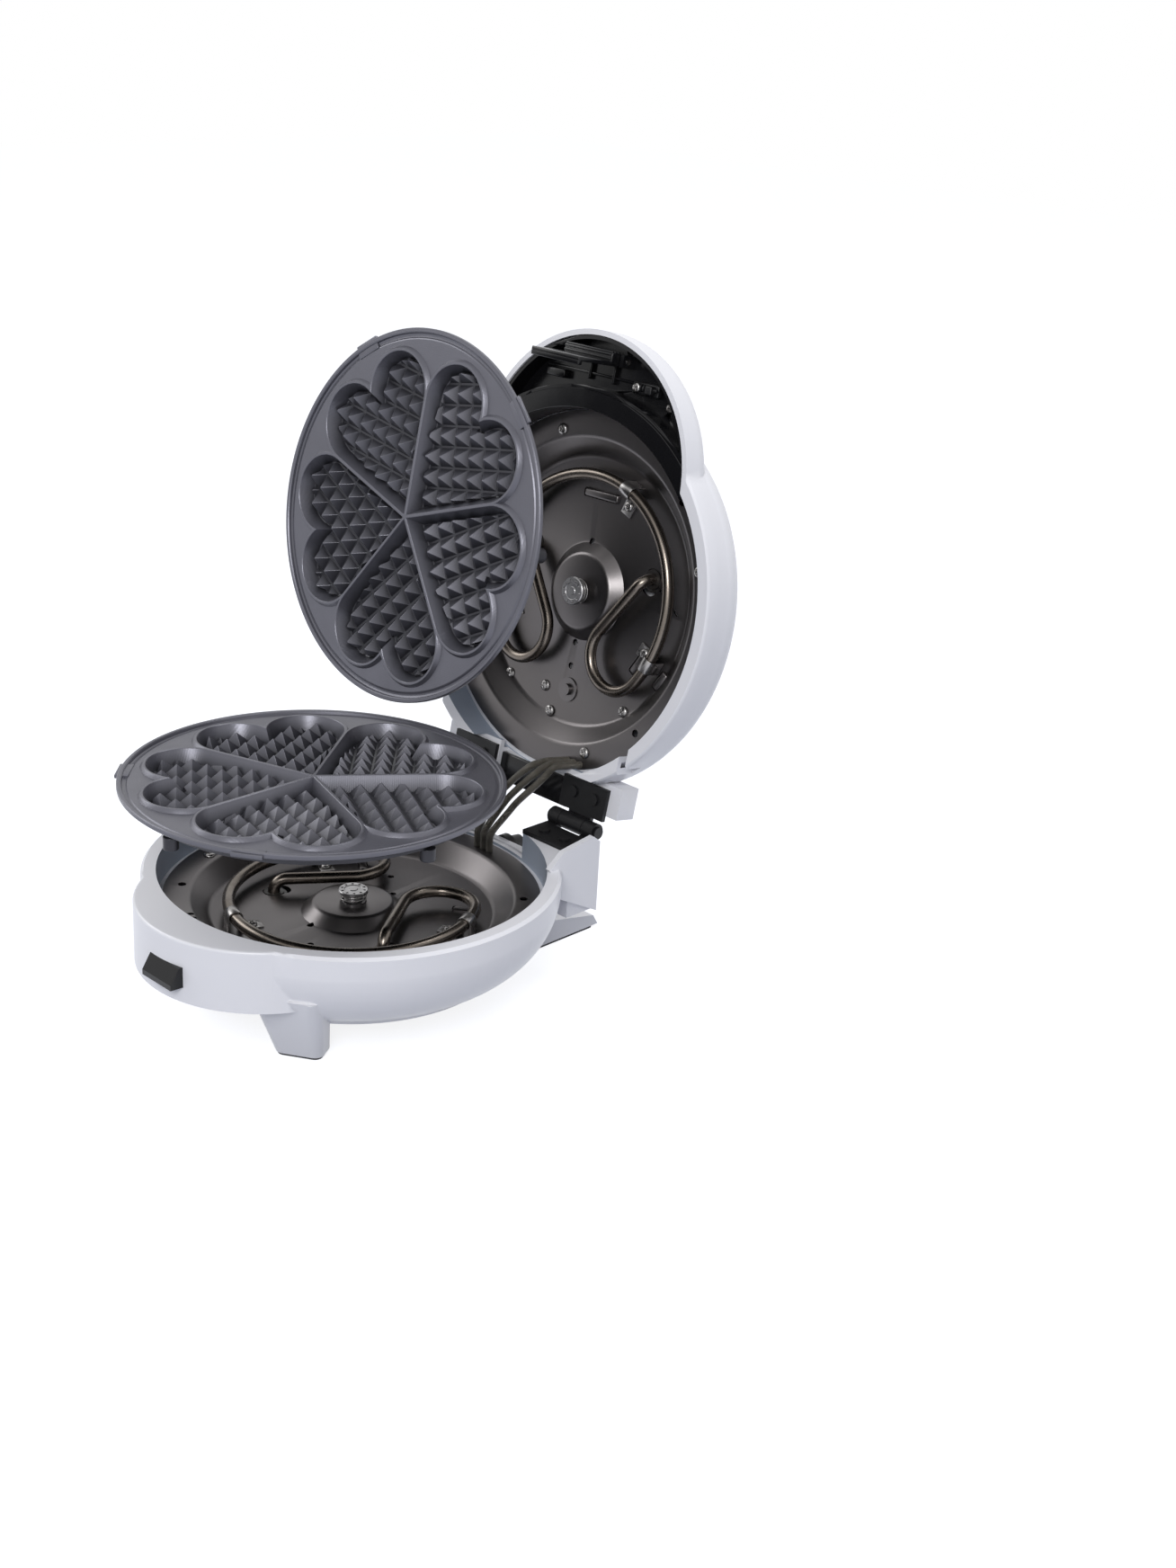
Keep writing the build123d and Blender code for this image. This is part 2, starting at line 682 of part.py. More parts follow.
def sensor_spring(tray):
    """The coil between the boss and the stud's head."""
    foot = -BOSS_DEPTH + SPRING_WIRE + 0.1
    height = spring_height()
    with BuildPart() as coil:
        with BuildLine() as route:
            Helix(pitch=height / SPRING_TURNS, height=height, radius=SPRING_R,
                  center=tray.point(0, 0, foot), direction=tray.rim.z_dir)
        with BuildSketch(Plane(origin=route.line @ 0, z_dir=route.line % 0)):
            Circle(SPRING_WIRE)
        sweep(path=route.line, is_frenet=True)
    return coil


def heart_shape():
    """Radius of a heart's lobes, where their centres lie, and where its tip is, on the +X axis."""
    half = math.pi / HEARTS
    tip = RIB_HALF / math.sin(half)
    spread = 0.92
    k = (1 + spread * math.cos(half)) / math.sin(half)
    a = spread**2 + k**2 - 1
    b = 2 * tip * k + 2 * HEART_REACH
    c = tip**2 - HEART_REACH**2
    lobe = (-b + math.sqrt(b * b - 4 * a * c)) / (2 * a)
    return lobe, (tip + k * lobe, spread * lobe), tip


def heart_angles():
    """Directions of the hearts' axes. A rib points to the handle."""
    return [270 + 180 / HEARTS + 360 / HEARTS * k for k in range(HEARTS)]


def in_heart(x, y, margin):
    """Whether a point lies inside the heart along +X, this far from its edge."""
    lobe, (cx, cy), tip = heart_shape()
    half = math.pi / HEARTS
    if math.hypot(x - cx, abs(y) - cy) <= lobe - margin:
        return True
    side = (x - tip) * math.sin(half) - abs(y) * math.cos(half)
    return x <= cx and side >= margin


def stud_spots():
    """Places of the small pyramids in one heart, on a grid turned 45 degrees to its axis."""
    step = STUD_PITCH / math.sqrt(2)
    spots = []
    for i in range(1, 12):
        for j in range(-6, 7):
            x, y = i * step, j * step
            if (i + j) % 2 == 0 and in_heart(x, y, STUD_BASE * 0.62):
                spots.append((x, y))
    return spots


def waffle_plate(face):
    """A cast plate whose land lies in the plane face, pattern side up."""
    axis = Axis(face.origin, face.z_dir)
    section = Plane(origin=face.origin, x_dir=face.x_dir, z_dir=-face.y_dir)
    below = PAN_DEPTH - PLATE_SEAT - SEAT_PLAY
    hub = STUD_HEAD_DEPTH - PLATE_SEAT - SEAT_PLAY
    with BuildPart() as plate:
        with BuildSketch(section):
            with BuildLine():
                Polyline((0, 0), (PLATE_R, 0), (PLATE_R, -FLANGE_THICK), (PLATE_BODY_R, -FLANGE_THICK),
                         (PLATE_BODY_R - 2, -PLATE_BODY), (0, -PLATE_BODY), close=True)
            make_face()
        revolve(axis=axis)
        for angle in LUG_ANGLES:
            with BuildSketch(face):
                with Locations(Location((0, 0, 0), (0, 0, angle))):
                    with Locations((PLATE_R - 3 + LUG[1] / 2, 0)):
                        Rectangle(6 + LUG[1], LUG[0])
            extrude(amount=-FLANGE_THICK)
        with BuildSketch(face):
            add(heart_ring(BEAD_WIDTH))
        extrude(amount=BEAD_HEIGHT)
        with BuildSketch(face.offset(BEAD_HEIGHT)):
            add(heart_ring(0))
        extrude(amount=-HEART_DEPTH - BEAD_HEIGHT, mode=Mode.SUBTRACT)
        with BuildSketch(face.offset(-HEART_DEPTH)):
            for angle in heart_angles():
                a = math.radians(angle)
                for x, y in stud_spots():
                    px = x * math.cos(a) - y * math.sin(a)
                    py = x * math.sin(a) + y * math.cos(a)
                    with Locations(Location((px, py, 0), (0, 0, angle + 45))):
                        Rectangle(STUD_BASE, STUD_BASE)
        extrude(amount=STUD_HEIGHT, taper=STUD_DRAFT)
        with BuildSketch(face.offset(-PLATE_BODY)):
            with PolarLocations(PLATE_POST_CIRCLE, 4):
                Circle(PLATE_POST_R)
        extrude(amount=-(below - PLATE_BODY))
        with BuildSketch(face.offset(-PLATE_BODY)):
            Circle(HUB_R)
        extrude(amount=-(hub - PLATE_BODY))
    return plate


def heart_ring(grow):
    """All the hearts of a plate in one sketch, their edges moved out by grow."""
    lobe, (cx, cy), tip = heart_shape()
    half = math.pi / HEARTS
    lobe += grow
    tip -= grow / math.sin(half)
    foot = (cx - lobe * math.sin(half), cy + lobe * math.cos(half))
    with BuildSketch() as heart:
        with Locations((cx, cy), (cx, -cy)):
            Circle(lobe)
        with BuildLine():
            Polyline((tip, 0), foot, (cx, cy), (cx, -cy), (foot[0], -foot[1]), close=True)
        make_face()
    with BuildSketch() as ring:
        for angle in heart_angles():
            add(heart.sketch, rotation=angle)
    return ring.sketch


def leaf(side, on_lid):
    """Adds one hinge leaf with its knuckles, in the closed pose, to the open part."""
    x0 = side * LEAF_X - LEAF_WIDTH / 2
    top = HINGE_Z + BARREL_R if on_lid else RIM_HEIGHT + LEAF_THICK
    spans = (
        [(KNUCKLE + KNUCKLE_PLAY, LEAF_WIDTH - KNUCKLE - KNUCKLE_PLAY)]
        if on_lid
        else [(0, KNUCKLE), (LEAF_WIDTH - KNUCKLE, LEAF_WIDTH)]
    )
    with BuildSketch(Plane.XY.offset(top - LEAF_THICK)) as strap:
        with Locations((side * LEAF_X, (LEAF_START_Y + HINGE_Y - BARREL_R - 1) / 2)):
            Rectangle(LEAF_WIDTH, HINGE_Y - BARREL_R - 1 - LEAF_START_Y)
        for start, end in spans:
            with Locations((x0 + (start + end) / 2, HINGE_Y - (BARREL_R + 2) / 2)):
                Rectangle(end - start, BARREL_R + 2)
    extrude(strap.sketch, amount=LEAF_THICK)
    for start, end in spans:
        with BuildSketch(AXLE.offset(x0 + start)) as knuckle:
            Circle(BARREL_R)
        extrude(knuckle.sketch, amount=end - start)
    with BuildSketch(AXLE.offset(x0 - 1)) as bore:
        Circle(PIN_R + PIN_PLAY)
    extrude(bore.sketch, amount=LEAF_WIDTH + 2, mode=Mode.SUBTRACT)
    with BuildSketch(Plane.XY.offset(top)) as holes:
        with Locations(*leaf_screw_spots(side)):
            Circle(SCREW_R + 0.15)
    extrude(holes.sketch, amount=-LEAF_THICK, mode=Mode.SUBTRACT)


def leaf_screw_spots(side):
    """The two screws of a leaf."""
    return [(side * LEAF_X + s * HINGE_SCREW_PITCH / 2, LEAF_START_Y + 8) for s in (-1, 1)]


def swing(builder):
    """The builder's part swung from the closed to the open lid."""
    with BuildPart() as moved:
        add(builder.part.rotate(Axis((0, HINGE_Y, HINGE_Z), (1, 0, 0)), -LID_OPEN))
    return moved


def base_leaves():
    """The two leaves screwed to the base."""
    with BuildPart() as leaves:
        for side in (-1, 1):
            leaf(side, False)
    return leaves


def lid_leaves():
    """The two leaves screwed to the lid."""
    with BuildPart() as leaves:
        for side in (-1, 1):
            leaf(side, True)
    return swing(leaves)


def leaf_screws(on_lid):
    """Countersunk screws of one half's leaves."""
    face = HINGE_Z + BARREL_R - LEAF_THICK if on_lid else RIM_HEIGHT + LEAF_THICK
    out = -1 if on_lid else 1
    with BuildPart() as screws:
        for side in (-1, 1):
            with BuildSketch(Plane.XY.offset(face)):
                with Locations(*leaf_screw_spots(side)):
                    Circle(SCREW_HEAD_R)
            extrude(amount=out * 1.2)
            with BuildSketch(Plane.XY.offset(face)):
                with Locations(*leaf_screw_spots(side)):
                    Circle(SCREW_R)
            extrude(amount=-out * LEAF_THICK)
    return swing(screws) if on_lid else screws


def hinge_pins():
    """The two pins, with heads outside the knuckles."""
    with BuildPart() as pins:
        for side in (-1, 1):
            x0 = side * LEAF_X - LEAF_WIDTH / 2
            with BuildSketch(AXLE.offset(x0 - 1.2)):
                Circle(PIN_R)
            extrude(amount=LEAF_WIDTH + 2.4)
            for x in (x0 - 1.6, x0 + LEAF_WIDTH + 0.4):
                with BuildSketch(AXLE.offset(x)):
                    Circle(PIN_R + 1)
                extrude(amount=1.2)
    return pins


def latch():
    """The handle's catch block, bored for its rod, with the hook plate and its lip."""
    with BuildPart() as hook:
        with BuildSketch(LID.level(-LATCH_DEPTH)):
            with Locations((LATCH_X, LATCH_Y)):
                Rectangle(2 * LATCH_HALF, LATCH_THICK)
        extrude(amount=LATCH_DEPTH)
        back = LATCH_Y - LATCH_THICK / 2 + 0.5
        with BuildSketch(LID.level(0)):
            with Locations((LATCH_X, back + HOOK_SHEET / 2)):
                Rectangle(2 * LATCH_HALF, HOOK_SHEET)
        extrude(amount=HOOK_REACH)
        with BuildSketch(LID.level(HOOK_REACH - HOOK_LIP[1])):
            with Locations((LATCH_X, back + HOOK_SHEET + HOOK_LIP[0] / 2)):
                Rectangle(2 * LATCH_HALF, HOOK_LIP[0])
        extrude(amount=HOOK_LIP[1])
        with BuildSketch(latch_plane(-LATCH_HALF - 1)):
            Circle(LATCH_ROD_R + PIN_PLAY)
        extrude(amount=2 * LATCH_HALF + 2, mode=Mode.SUBTRACT)
    return hook


def latch_rod():
    """The rod that the catch block turns on, held in the liner's brackets."""
    reach = LATCH_HALF + 0.4 + LATCH_BRACKET + 0.5
    with BuildPart() as rod:
        with BuildSketch(latch_plane(-reach)):
            Circle(LATCH_ROD_R)
        extrude(amount=2 * reach)
    return rod


def plate_release():
    """The small lever beside the latch that lets the plate go, bored for its pivot screw."""
    x, y = LEVER_PIVOT
    with BuildPart() as lever:
        with BuildSketch(LID.level(-LINER_FLOOR + 0.3)):
            with Locations((x - 6, y)):
                SlotOverall(19, 7)
        extrude(amount=3.6)
        with BuildSketch(LID.level(-LINER_FLOOR + 3.9)):
            with Locations((x - 11, y)):
                RectangleRounded(5, 5, 1)
        extrude(amount=4)
        with BuildSketch(LID.level(-LINER_FLOOR)):
            with Locations((x, y)):
                Circle(LEVER_SCREW_R + 0.08)
        extrude(amount=4, mode=Mode.SUBTRACT)
    return lever


def release_screws():
    """The lever's pivot screw and the free screw beside it."""
    with BuildPart() as screws:
        for (x, y), rise in ((LEVER_PIVOT, 4.3), (FREE_SCREW, 0.0)):
            with BuildSketch(LID.level(-LINER_FLOOR - LINER_WALL)):
                with Locations((x, y)):
                    Circle(LEVER_SCREW_R)
            extrude(amount=LINER_WALL + rise + 0.5)
            with BuildSketch(LID.level(-LINER_FLOOR + rise)):
                with Locations((x, y)):
                    Circle(SCREW_HEAD_R - 0.6)
            extrude(amount=1.6)
    return screws


def base_catch():
    """The black wedge that stands out of the apron, which the hook's lip goes under."""
    low, high = CATCH_Z
    wall = NOSE_Y - NOSE_R
    with BuildPart() as wedge:
        with BuildSketch(Plane.YZ.offset(CATCH_X[0])):
            with BuildLine():
                Polyline((wall + 7, low), (wall - CATCH_TIP, low + 0.6), (wall - CATCH_TIP, low + 3.5),
                         (wall, high), (wall + 7, high), close=True)
            make_face()
        extrude(amount=CATCH_X[1] - CATCH_X[0])
    return wedge


def bottom_cover():
    """The round cover under the base, with vent slots."""
    with BuildPart() as cover:
        with BuildSketch(Plane.XY.offset(BASE_BOTTOM - COVER_THICK)):
            Circle(COVER_R)
            with GridLocations(10, 40, 7, 2):
                SlotOverall(26, 4, rotation=90, mode=Mode.SUBTRACT)
        extrude(amount=COVER_THICK)
    return cover


def foot_pads():
    """Rubber pads under the two front legs and the two rear fins."""
    with BuildPart() as pads:
        for side in (-1, 1):
            with BuildSketch(leg_plane(side, FOOT_MIDDLE_R, 0)):
                RectangleRounded(FOOT_SIZE[0] - 2, FOOT_SIZE[1] - 2, 4)
        with BuildSketch():
            with Locations((FIN_X, 121), (-FIN_X, 121)):
                RectangleRounded(FIN_WIDTH - 1, 64, 3)
        extrude(amount=PAD)
    return pads


def thermostat():
    """The thermostat disc pressed against the underside of the base pan."""
    with BuildPart() as body:
        with BuildSketch(BASE.level(-PAN_FLOOR_DEPTH - PAN_SHEET)):
            with Locations((42, 8)):
                Circle(11)
        extrude(amount=-7)
        with BuildSketch(BASE.level(-PAN_FLOOR_DEPTH - PAN_SHEET - 7)):
            with Locations((42, 8)):
                Circle(8)
        extrude(amount=-6)
    return body


def thermal_fuse():
    """The one-shot fuse clamped under the base pan."""
    with BuildPart() as fuse:
        with BuildSketch(Plane.YZ.offset(-52)):
            with Locations((8, RIM_HEIGHT - PAN_FLOOR_DEPTH - PAN_SHEET - 2.6)):
                Circle(2.5)
        extrude(amount=18)
        with BuildSketch(Plane.XY.offset(RIM_HEIGHT - PAN_FLOOR_DEPTH - PAN_SHEET - 3)):
            with Locations((-43, 8)):
                Rectangle(7, 7)
        extrude(amount=3)
    return fuse


def terminal_block():
    """The mains terminal block on the bottom cover."""
    with BuildPart() as block:
        with BuildSketch(Plane.XY.offset(BASE_BOTTOM)):
            with Locations((0, 38)):
                Rectangle(34, 16)
        extrude(amount=12)
        with BuildSketch(Plane.XY.offset(BASE_BOTTOM + 12)):
            with GridLocations(10, 0, 3, 1):
                with Locations((0, 38)):
                    Circle(2.4)
        extrude(amount=-5, mode=Mode.SUBTRACT)
    return block


def cord_gland():
    """The inlet gland on the back of the hinge block."""
    with BuildPart() as gland:
        with BuildSketch(Plane.XZ.offset(-BLOCK_REAR)):
            with Locations((0, 50)):
                Circle(7.5)
        extrude(amount=-4)
        with BuildSketch(Plane.XZ.offset(-BLOCK_REAR - 4)):
            with Locations((0, 50)):
                Circle(5.5)
        extrude(amount=-9, taper=6)
        with BuildSketch(Plane.XZ.offset(-BLOCK_REAR)):
            with Locations((0, 50)):
                Circle(3.4)
        extrude(amount=-14, mode=Mode.SUBTRACT)
    return gland


def earth_screw():
    """The earth washer and its screw on the lid pan."""
    with BuildPart() as screw:
        with BuildSketch(LID.level(-PAN_FLOOR_DEPTH)):
            with Locations((0, 58)):
                Circle(7)
        extrude(amount=0.8)
        with BuildSketch(LID.level(-PAN_FLOOR_DEPTH + 0.8)):
            with Locations((0, 58)):
                Circle(SCREW_HEAD_R)
        extrude(amount=SCREW_HEAD + 0.6)
    return screw


def leads():
    """Three sleeved leads that rise out of the base pan's edge and go over into the lid's."""
    with BuildPart() as cables:
        for k, x in enumerate(LEADS_BASE_X):
            end = LID.point(LEADS_LID_X[-1 - k], LEADS_Y, -LEDGE_DEPTH)
            over = LID.point(LEADS_LID_X[-1 - k], LEADS_Y, 2)
            lift = LEAD_STEP * (1 - k)
            points = [
                (x, LEADS_Y, RIM_HEIGHT - LEDGE_DEPTH),
                (x, LEADS_Y, RIM_HEIGHT - 7),
                (x - 2, HINGE_Y - 8, HINGE_Z + 3 + lift),
                (over.X - 6, over.Y - 6, over.Z - 6 + lift),
                over,
                end,
            ]
            with BuildLine() as route:
                FilletPolyline(*points, radius=4)
            with BuildSketch(Plane(origin=route.line @ 0, z_dir=route.line % 0)):
                Circle(LEAD_R)
            sweep(path=route.line)
    return cables


def main():
    """Makes and writes every piece."""
    os.makedirs("parts", exist_ok=True)
    lower_face = Plane(origin=Vector(0, 0, RIM_HEIGHT - PLATE_SEAT) + LOWER_OFF)
    upper_seat = LID.level(-PLATE_SEAT)
    upper_face = Plane(origin=upper_seat.origin + UPPER_OFF, x_dir=upper_seat.x_dir, z_dir=upper_seat.z_dir)
    pieces = {
        "base_shell": base_shell(),
        "bottom_cover": bottom_cover(),
        "foot_pads": foot_pads(),
        "base_catch": base_catch(),
        "base_hinge_leaves": base_leaves(),
        "base_leaf_screws": leaf_screws(False),
        "hinge_pins": hinge_pins(),
        "thermostat": thermostat(),
        "thermal_fuse": thermal_fuse(),
        "terminal_block": terminal_block(),
        "cord_gland": cord_gland(),
        "hinge_leads": leads(),
        "lid_shell": lid_shell(),
        "handle_liner": handle_liner(),
        "lid_hinge_leaves": lid_leaves(),
        "lid_leaf_screws": leaf_screws(True),
        "latch_hook": latch(),
        "latch_rod": latch_rod(),
        "plate_release": plate_release(),
        "release_screws": release_screws(),
        "earth_screw": earth_screw(),
        "lower_plate": waffle_plate(lower_face),
        "upper_plate": waffle_plate(upper_face),
    }
    shared = {
        "reflector_pan": pan,
        "heating_tube": heating_tube,
        "tube_clips": clips,
        "clip_screws": clip_screws,
        "pan_screws": pan_screws,
        "terminal_bushes": bushes,
        "terminal_tabs": tabs,
        "sensor_collar": sensor_collar,
        "sensor_stud": sensor_stud,
        "sensor_spring": sensor_spring,
    }
    for half, tray in (("base", BASE), ("lid", LID)):
        for name, make in shared.items():
            pieces[f"{half}_{name}"] = make(tray)
    for name, builder in pieces.items():
        save(builder, name)
    print(f"least gap between the sensor springs' curls: {spring_gap():.2f} mm")


if __name__ == "__main__":
    main()
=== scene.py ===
"""An open heart waffle maker with its two waffle plates lifted off their seats.

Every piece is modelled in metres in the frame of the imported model: feet on z = 0, the hinge
towards +Y and the handle towards -Y. Sizes in this file are in millimetres until they are used.
"""

import json
import logging
from collections.abc import Callable, Iterable, Sequence
from dataclasses import dataclass, replace
from enum import Enum
from math import asin, atan2, ceil, cos, degrees, hypot, pi, radians, sin, sqrt

import bpy
from mathutils import Matrix, Vector

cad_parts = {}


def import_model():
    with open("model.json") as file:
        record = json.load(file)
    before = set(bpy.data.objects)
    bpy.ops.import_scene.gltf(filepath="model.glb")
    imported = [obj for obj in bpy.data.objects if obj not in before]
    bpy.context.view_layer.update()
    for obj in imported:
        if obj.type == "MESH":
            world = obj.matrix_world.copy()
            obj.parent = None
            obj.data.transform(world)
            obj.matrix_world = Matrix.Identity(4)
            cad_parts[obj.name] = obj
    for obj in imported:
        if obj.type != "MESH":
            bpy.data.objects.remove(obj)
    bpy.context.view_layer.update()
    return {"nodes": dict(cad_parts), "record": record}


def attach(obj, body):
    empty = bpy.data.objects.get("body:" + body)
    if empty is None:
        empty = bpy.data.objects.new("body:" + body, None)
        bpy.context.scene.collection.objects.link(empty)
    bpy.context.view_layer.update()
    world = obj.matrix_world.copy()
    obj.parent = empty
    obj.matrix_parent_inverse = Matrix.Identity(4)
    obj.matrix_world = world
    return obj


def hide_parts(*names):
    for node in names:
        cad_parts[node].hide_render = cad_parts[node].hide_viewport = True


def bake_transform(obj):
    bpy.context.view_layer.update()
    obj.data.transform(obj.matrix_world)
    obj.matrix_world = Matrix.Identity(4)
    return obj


LOG = logging.getLogger("waffle_maker")
MM = 0.001
WELD = 0.002  # points of a piece nearer than this are one, in millimetres
NODE_WELD = 0.001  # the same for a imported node
FLAT = 0.6  # degrees between triangles that count as one flat face
Point = tuple[float, float, float]
Pair = tuple[float, float]
Profile = Sequence[Pair]
Piece = bpy.types.Object
Tree = bpy.types.NodeTree
Socket = bpy.types.NodeSocket


class Body(str, Enum):
    """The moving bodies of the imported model."""

    BASE = "base"
    LID = "lid"
    LATCH = "latch"
    RELEASE = "release"
    LOWER_PLATE = "lower_plate"
    UPPER_PLATE = "upper_plate"
    BASE_STUD = "base_stud"
    LID_STUD = "lid_stud"


@dataclass(frozen=True)
class Tray:
    """A place to model in: x and y across a mouth, z out of it, zero at the rim, in millimetres."""

    origin: Point
    x_dir: Point = (1.0, 0.0, 0.0)
    y_dir: Point = (0.0, 1.0, 0.0)
    z_dir: Point = (0.0, 0.0, 1.0)

    @property
    def matrix(self) -> Matrix:
        """From this place, in metres, to the frame of the model."""
        turn = Matrix((self.x_dir, self.y_dir, self.z_dir)).transposed().to_4x4()
        return Matrix.Translation(Vector(self.origin) * MM) @ turn

    def point(self, x: float, y: float, z: float) -> Vector:
        """A point of this place in the frame of the model, in millimetres."""
        return self.matrix @ (Vector((x, y, z)) * MM) / MM

    def shifted(self, offset: Point) -> "Tray":
        """The same place moved by an offset in the frame of the model."""
        origin = tuple(a + b for a, b in zip(self.origin, offset))
        return replace(self, origin=origin)


LEAN = radians(101.4 - 90.0)  # how far past upright the open lid leans
BASE = Tray((0.0, 0.0, 72.0))
LID = Tray(
    (0.0, 142.966, 199.116),
    (-1.0, 0.0, 0.0),
    (0.0, -sin(LEAN), -cos(LEAN)),
    (0.0, -cos(LEAN), sin(LEAN)),
)
PLATE_SEAT = 1.0  # how far under the rim a seated plate's flange lies
LOWER_FACE = BASE.shifted((-1.2, -26.4, 57.1 - PLATE_SEAT))
UPPER_FACE = replace(LID, origin=tuple(LID.point(0, 0, -PLATE_SEAT))).shifted((-36.8, -79.7, 46.1))


def on_circle(angle: float, radius: float) -> Pair:
    """The place at an angle in degrees on a circle round the middle."""
    return radius * cos(radians(angle)), radius * sin(radians(angle))


def spaced(radius: float, start: float, count: int) -> list[Pair]:
    """Places spaced evenly round a circle, from an angle in degrees."""
    return [on_circle(start + 360 / count * k, radius) for k in range(count)]


# Work at the bench: small steps of modelling that several pieces share


def clear() -> None:
    """Leaves nothing selected, in object mode."""
    if bpy.context.object and bpy.context.object.mode != "OBJECT":
        bpy.ops.object.mode_set(mode="OBJECT")
    bpy.ops.object.select_all(action="DESELECT")


def hold(*pieces: Piece) -> Piece:
    """Selects these pieces alone and makes the first one active.

    Args:
        pieces: What to select.

    Returns:
        The active piece.
    """
    clear()
    for piece in pieces:
        piece.select_set(True)
    bpy.context.view_layer.objects.active = pieces[0]
    return pieces[0]


def edit(piece: Piece, everything: bool = True) -> None:
    """Opens a piece for editing, with all of it or none of it selected."""
    hold(piece)
    bpy.ops.object.mode_set(mode="EDIT")
    bpy.ops.mesh.select_mode(type="VERT")
    bpy.ops.mesh.select_all(action="SELECT" if everything else "DESELECT")


def pick_faces(piece: Piece, test: Callable[[Vector, Vector], bool]) -> None:
    """Opens a piece with only some faces selected.

    Args:
        piece: What to open.
        test: Says from a face's centre, in millimetres, and its normal whether it is taken.
    """
    edit(piece, everything=False)
    bpy.ops.mesh.select_mode(type="FACE")
    bpy.ops.object.mode_set(mode="OBJECT")
    for face in piece.data.polygons:
        face.select = test(face.center / MM, face.normal)
    bpy.ops.object.mode_set(mode="EDIT")


def done(piece: Piece) -> Piece:
    """Closes editing and returns the piece."""
    bpy.ops.object.mode_set(mode="OBJECT")
    return piece


def weld(piece: Piece, outward: bool = True) -> Piece:
    """Merges points that lie on each other and turns the faces outwards.

    Args:
        piece: What to weld.
        outward: Whether the normals are worked out again.

    Returns:
        The same piece.
    """
    edit(piece)
    bpy.ops.mesh.remove_doubles(threshold=WELD * MM)
    if outward:
        bpy.ops.mesh.normals_make_consistent(inside=False)
    return done(piece)


def apply(piece: Piece, kind: str, **settings: object) -> Piece:
    """Adds a modifier to a piece and applies it.

    Args:
        piece: What it acts on.
        kind: The modifier's type.
        settings: Its settings.

    Returns:
        The same piece.
    """
    hold(piece)
    modifier = piece.modifiers.new(kind.title(), kind)
    for name, value in settings.items():
        setattr(modifier, name, value)
    bpy.ops.object.modifier_apply(modifier=modifier.name)
    return piece


def soften(piece: Piece, width: float, segments: int = 2, angle: float = 30.0) -> Piece:
    """Rounds a piece's sharp edges, as moulding, casting or pressing does."""
    return apply(
        piece, "BEVEL", width=width * MM, segments=segments, limit_method="ANGLE",
        angle_limit=radians(angle), use_clamp_overlap=True, harden_normals=False,
        miter_outer="MITER_ARC",
    )


def even(piece: Piece) -> Piece:
    """Lets each face weigh by its size in the normals, so that flat walls shade flat."""
    return apply(piece, "WEIGHTED_NORMAL", keep_sharp=True, weight=50)


def smooth(piece: Piece, angle: float = 32.0) -> Piece:
    """Shades a piece smooth except across edges sharper than this."""
    hold(piece)
    bpy.ops.object.shade_smooth_by_angle(angle=radians(angle))
    return piece


def join(*pieces: Piece) -> Piece:
    """Joins pieces into the first one."""
    hold(*pieces)
    bpy.ops.object.join()
    return pieces[0]


def cut(piece: Piece, cutter: Piece, how: str = "DIFFERENCE", overlaps: bool = False) -> Piece:
    """Cuts a piece with another, or fuses the two.

    Args:
        piece: What is cut.
        cutter: What cuts it, removed afterwards.
        how: DIFFERENCE, UNION or INTERSECT.
        overlaps: Whether shells inside one mesh overlap each other.

    Returns:
        The piece.
    """
    apply(piece, "BOOLEAN", object=cutter, operation=how, solver="EXACT", use_self=overlaps)
    bpy.data.objects.remove(cutter)
    return piece


def twin(piece: Piece, name: str) -> Piece:
    """A copy of a piece with a mesh of its own."""
    copy = piece.copy()
    copy.data = piece.data.copy()
    copy.name = name
    bpy.context.scene.collection.objects.link(copy)
    return copy


def placed(name: str, data: bpy.types.ID) -> Piece:
    """A new object in the scene that shows this curve, lamp or camera."""
    piece = bpy.data.objects.new(name, data)
    bpy.context.scene.collection.objects.link(piece)
    return piece


def move(piece: Piece, by: Point = (0, 0, 0), turn: float = 0.0, axis: str = "Z") -> Piece:
    """Turns a piece's mesh about its origin by degrees and then shifts it by millimetres."""
    turned = Matrix.Rotation(radians(turn), 4, axis)
    piece.data.transform(Matrix.Translation(Vector(by) * MM) @ turned)
    return piece


def copied(piece: Piece, moves: Iterable[tuple[Point, float]]) -> list[Piece]:
    """Copies of a piece, each shifted and turned its own way, in place of the piece itself.

    Args:
        piece: What is copied and then removed.
        moves: The shift in millimetres and the turn in degrees of each copy.

    Returns:
        The copies.
    """
    copies = [move(twin(piece, piece.name), by, turn) for by, turn in moves]
    bpy.data.objects.remove(piece)
    return copies


def made(name: str) -> Piece:
    """Names the new active piece, with its place, turn and size in its mesh.

    Args:
        name: The piece's name.

    Returns:
        The piece.
    """
    piece = bpy.context.object
    piece.name = name
    bpy.ops.object.transform_apply()
    return piece


def settle(piece: Piece, place: Tray, angle: float = 30.0) -> Piece:
    """Puts a piece made in a tray's own frame into the model's and shades it smooth.

    Args:
        piece: What to settle.
        place: The tray that it was made in.
        angle: The least angle of an edge that stays sharp, in degrees.

    Returns:
        The same piece, with its place in its mesh.
    """
    piece.matrix_world = place.matrix @ piece.matrix_world
    hold(piece)
    bpy.ops.object.transform_apply()
    return smooth(piece, angle)


def assemble(name: str, parts: Sequence[Piece], place: Tray, angle: float = 30.0) -> Piece:
    """Joins parts made in a tray's own frame into one named piece of the model."""
    piece = join(*parts)
    piece.name = name
    return settle(piece, place, angle)


